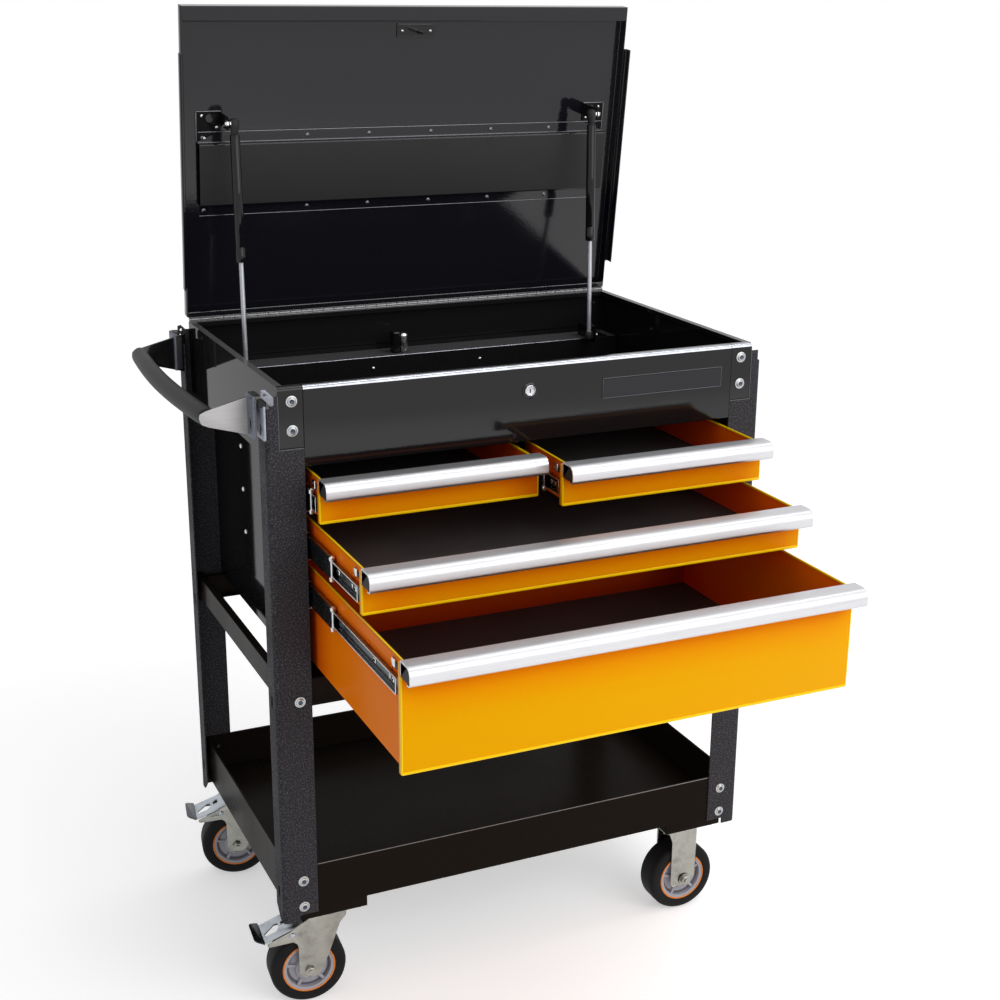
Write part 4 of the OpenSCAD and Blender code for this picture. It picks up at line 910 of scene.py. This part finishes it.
# --- Swivel casters ---
# Pressed zinc-plated forks with long arms, round raceways and bolted axles, and between the arms a
# broad brake pedal of bluish zinc with a slit, a window and a dark turned-up end.

ARM = 24  # from the wheel's middle to the near arm's outer face
GAUGE = 2.5
PEDAL_X, PEDAL_Z = -65, 135  # the pedal's pivot
fork_zinc = plated("fork_zinc", (0.35, 0.35, 0.315), (0.2, 0.34), 40)
pedal_zinc = plated("pedal_zinc", (0.40, 0.43, 0.47), (0.22, 0.36), 70)
pedal_dark = plated("pedal_dark", (0.075, 0.078, 0.088), (0.2, 0.34), 240)


def bent(points, start, radius, angle):
    """Rolls the part of a blank beyond x = start round a bend of the radius, through the angle."""
    run = points[:, 0] - start
    t = np.clip(run, 0, radius * angle) / radius
    past = np.clip(run - radius * angle, 0, None)
    depth = radius - points[:, 2]
    x = np.where(run > 0, start + depth * np.sin(t) + past * math.cos(angle), points[:, 0])
    z = np.where(run > 0, radius - depth * np.cos(t) + past * math.sin(angle), points[:, 2])
    return np.stack([x, points[:, 1], z], -1)


def arm(points, faces, x, out, sign):
    """A part: a bent blank stood up at x, its outer face at y = out and its bend rolled towards the wheel."""
    return np.stack([x + points[:, 0], out - sign * (GAUGE / 2 + points[:, 2]), points[:, 1]], -1), faces, 0


leg = rounded([(30, 167), (-27, 167), (-69, 141), (-108, 125.6), (-105, 120), (-64, 122), (-58, 117), (-56, 111),
               (-56, 62), (-49, 52), (-27, 52), (-20, 58), (17, 138), (30, 148)],
              [2, 20, 10, 3, 8, 4, 4, 5, 8, 9, 9, 8, 10, 6])
leg_blank, leg_faces = blank([leg, oval(PEDAL_X, PEDAL_Z, 6.2, 6.2, 16)], GAUGE, 0.5, [-12, -9.5, -7, -4.5, -2])
axle_nut = [(0, 0), (8.6, 0, 1), (9, 0.6, 1), (9, 5.2, 1), (8.3, 6, 1), (7, 6.2), (0, 6.2)]
axle_end = [(0, 6), (4.2, 6), (4.6, 6.6), (4.6, 8.2), (4.0, 8.8), (0, 8.8)]
axle = [(5, -ARM), (5, ARM + FAR)]
crown = rounded([(-28, -22.5), (24, -22.5), (29, -12), (29, 26), (24, 36.5), (-28, 36.5)], [3, 8, 10, 10, 8, 3])
raceway = [(6.5, 163), (24, 163), (27.5, 164), (29, 166.2), (28.6, 168), (26.5, 169.4), (6.5, 169.4)]
fork = []
for sign, out in ((-1, -ARM), (1, ARM + FAR)):
    fork.append(arm(bent(leg_blank, -12, 24, 0.36), leg_faces, 0, out, sign))
    fork += [turned(profile, (AXLE_X, out, AXLE_Z), (0, sign, 0), 24) for profile in (axle_nut, axle_end)]
fork += [turned(axle, (AXLE_X, 0, AXLE_Z), (0, 1, 0), 20),
         plate([crown], 5.0, 1.2, (0, 0, 164.4), (1, 0, 0), 0, (0, 1, 0)),
         turned(raceway, (0, 0, 0), (0, 0, 1), 48)]

tongue = rounded([(-111.5, -20.8), (-46, -20.8), (-46, 20.8 + FAR), (-111.5, 20.8 + FAR)], [1, 4, 4, 1])
slit = rounded([(-106, -4), (-88, -4), (-82, 4), (-82, 17), (-87, 17), (-106, 3)], 1.2)
window = rounded([(-77, 6), (-68, 6), (-68, 21), (-77, 15)], 2.0)
flap = rounded([(-127, -20), (-110.6, -25.2), (-110.6, 25.2 + FAR), (-127, 20 + FAR)], [9, 1, 1, 9])
cheek = rounded([(-94, 131), (-47, 148), (-47, 141), (-60, 129), (-70, 128)], [1, 1, 2, 5, 5])
pivot_rivet = [(0, 0), (4.8, 0), (4.9, 0.6), (3.9, 1.8), (2.0, 2.4), (0, 2.5)]
pedal = []
for outlines, finish, slope in (([tongue, slit, window], 0, 0.36), ([flap], 1, -0.34)):
    skin, faces = blank(outlines, GAUGE, 0.5)
    skin[:, 2] += 127.6 + (skin[:, 0] + 108) * slope
    pedal.append((skin, faces, finish))
for sign, y, out in ((-1, -19.6, -24.1), (1, 19.6 + FAR, 24.1 + FAR)):
    pedal += [plate([cheek], 2.0, 0.4, (0, y, 0), (1, 0, 0)),
              turned(pivot_rivet, (PEDAL_X, out, PEDAL_Z), (0, sign, 0), 20)]
pedal.append(turned([(3, -ARM), (3, ARM + FAR)], (PEDAL_X, 0, PEDAL_Z), (0, 1, 0), 16))
for end in SWIVEL:
    piece(f"fork_{end}", placed(fork, lambda p: on_swivel(p, end)), f"swivel_{end}", [fork_zinc],
          f"swivel_fork_{end}")
    piece(f"pedal_{end}", placed(pedal, lambda p: on_swivel(p, end)), f"pedal_{end}", [pedal_zinc, pedal_dark],
          f"brake_pedal_{end}")

# --- Rigid casters and plates ---
# Zinc-plated forks with folded side edges under welded top plates, and bolted axles with washers
# and hexagon nuts.

dress(fork_zinc, "caster_plates")
rigid_leg = rounded([(-35, 173.5), (-35, 165), (-26.5, 142), (-26.5, 51.5), (4, 51.5), (14, 59.5), (26.5, 73),
                     (26.5, 136), (35, 165), (35, 173.5)], [1, 6, 14, 5, 8, 4, 4, 14, 6, 1])
washer = [(5.2, 0), (11, 0), (11.3, 0.5), (11, 1.3), (5.2, 1.3)]
rigid_nut = [(0, 1.3), (8.6, 1.3, 1), (9.2, 1.9, 1), (9.2, 6.8, 1), (8.4, 7.6, 1), (7, 7.8), (4.6, 7.8), (4.6, 10.5),
             (4, 11), (0, 11)]
skin, faces = blank([rigid_leg], GAUGE, 0.5, [16, 18, 20, 22, 24])
folded = bent(bent(skin, 17, 7, 0.95) * (-1, 1, 1), 19, 5, 0.6) * (-1, 1, 1)
forks = []
for y in CASTER_ROW.values():
    for sign, out in ((-1, y - ARM), (1, y + ARM + FAR)):
        forks += [arm(folded, faces, CASTER_X, out, sign),
                  turned(washer, (CASTER_X, out, AXLE_Z), (0, sign, 0), 32),
                  turned(rigid_nut, (CASTER_X, out, AXLE_Z), (0, sign, 0), 24, 0.3)]
    forks += [turned(axle, (CASTER_X, y, AXLE_Z), (0, 1, 0), 20),
              rounded_box((299, y - ARM, 170), (369, y + ARM + FAR, 173.4), 1.2, 2)]
piece("rigid_fork_pair", forks, "chest", [fork_zinc], "rigid_forks")
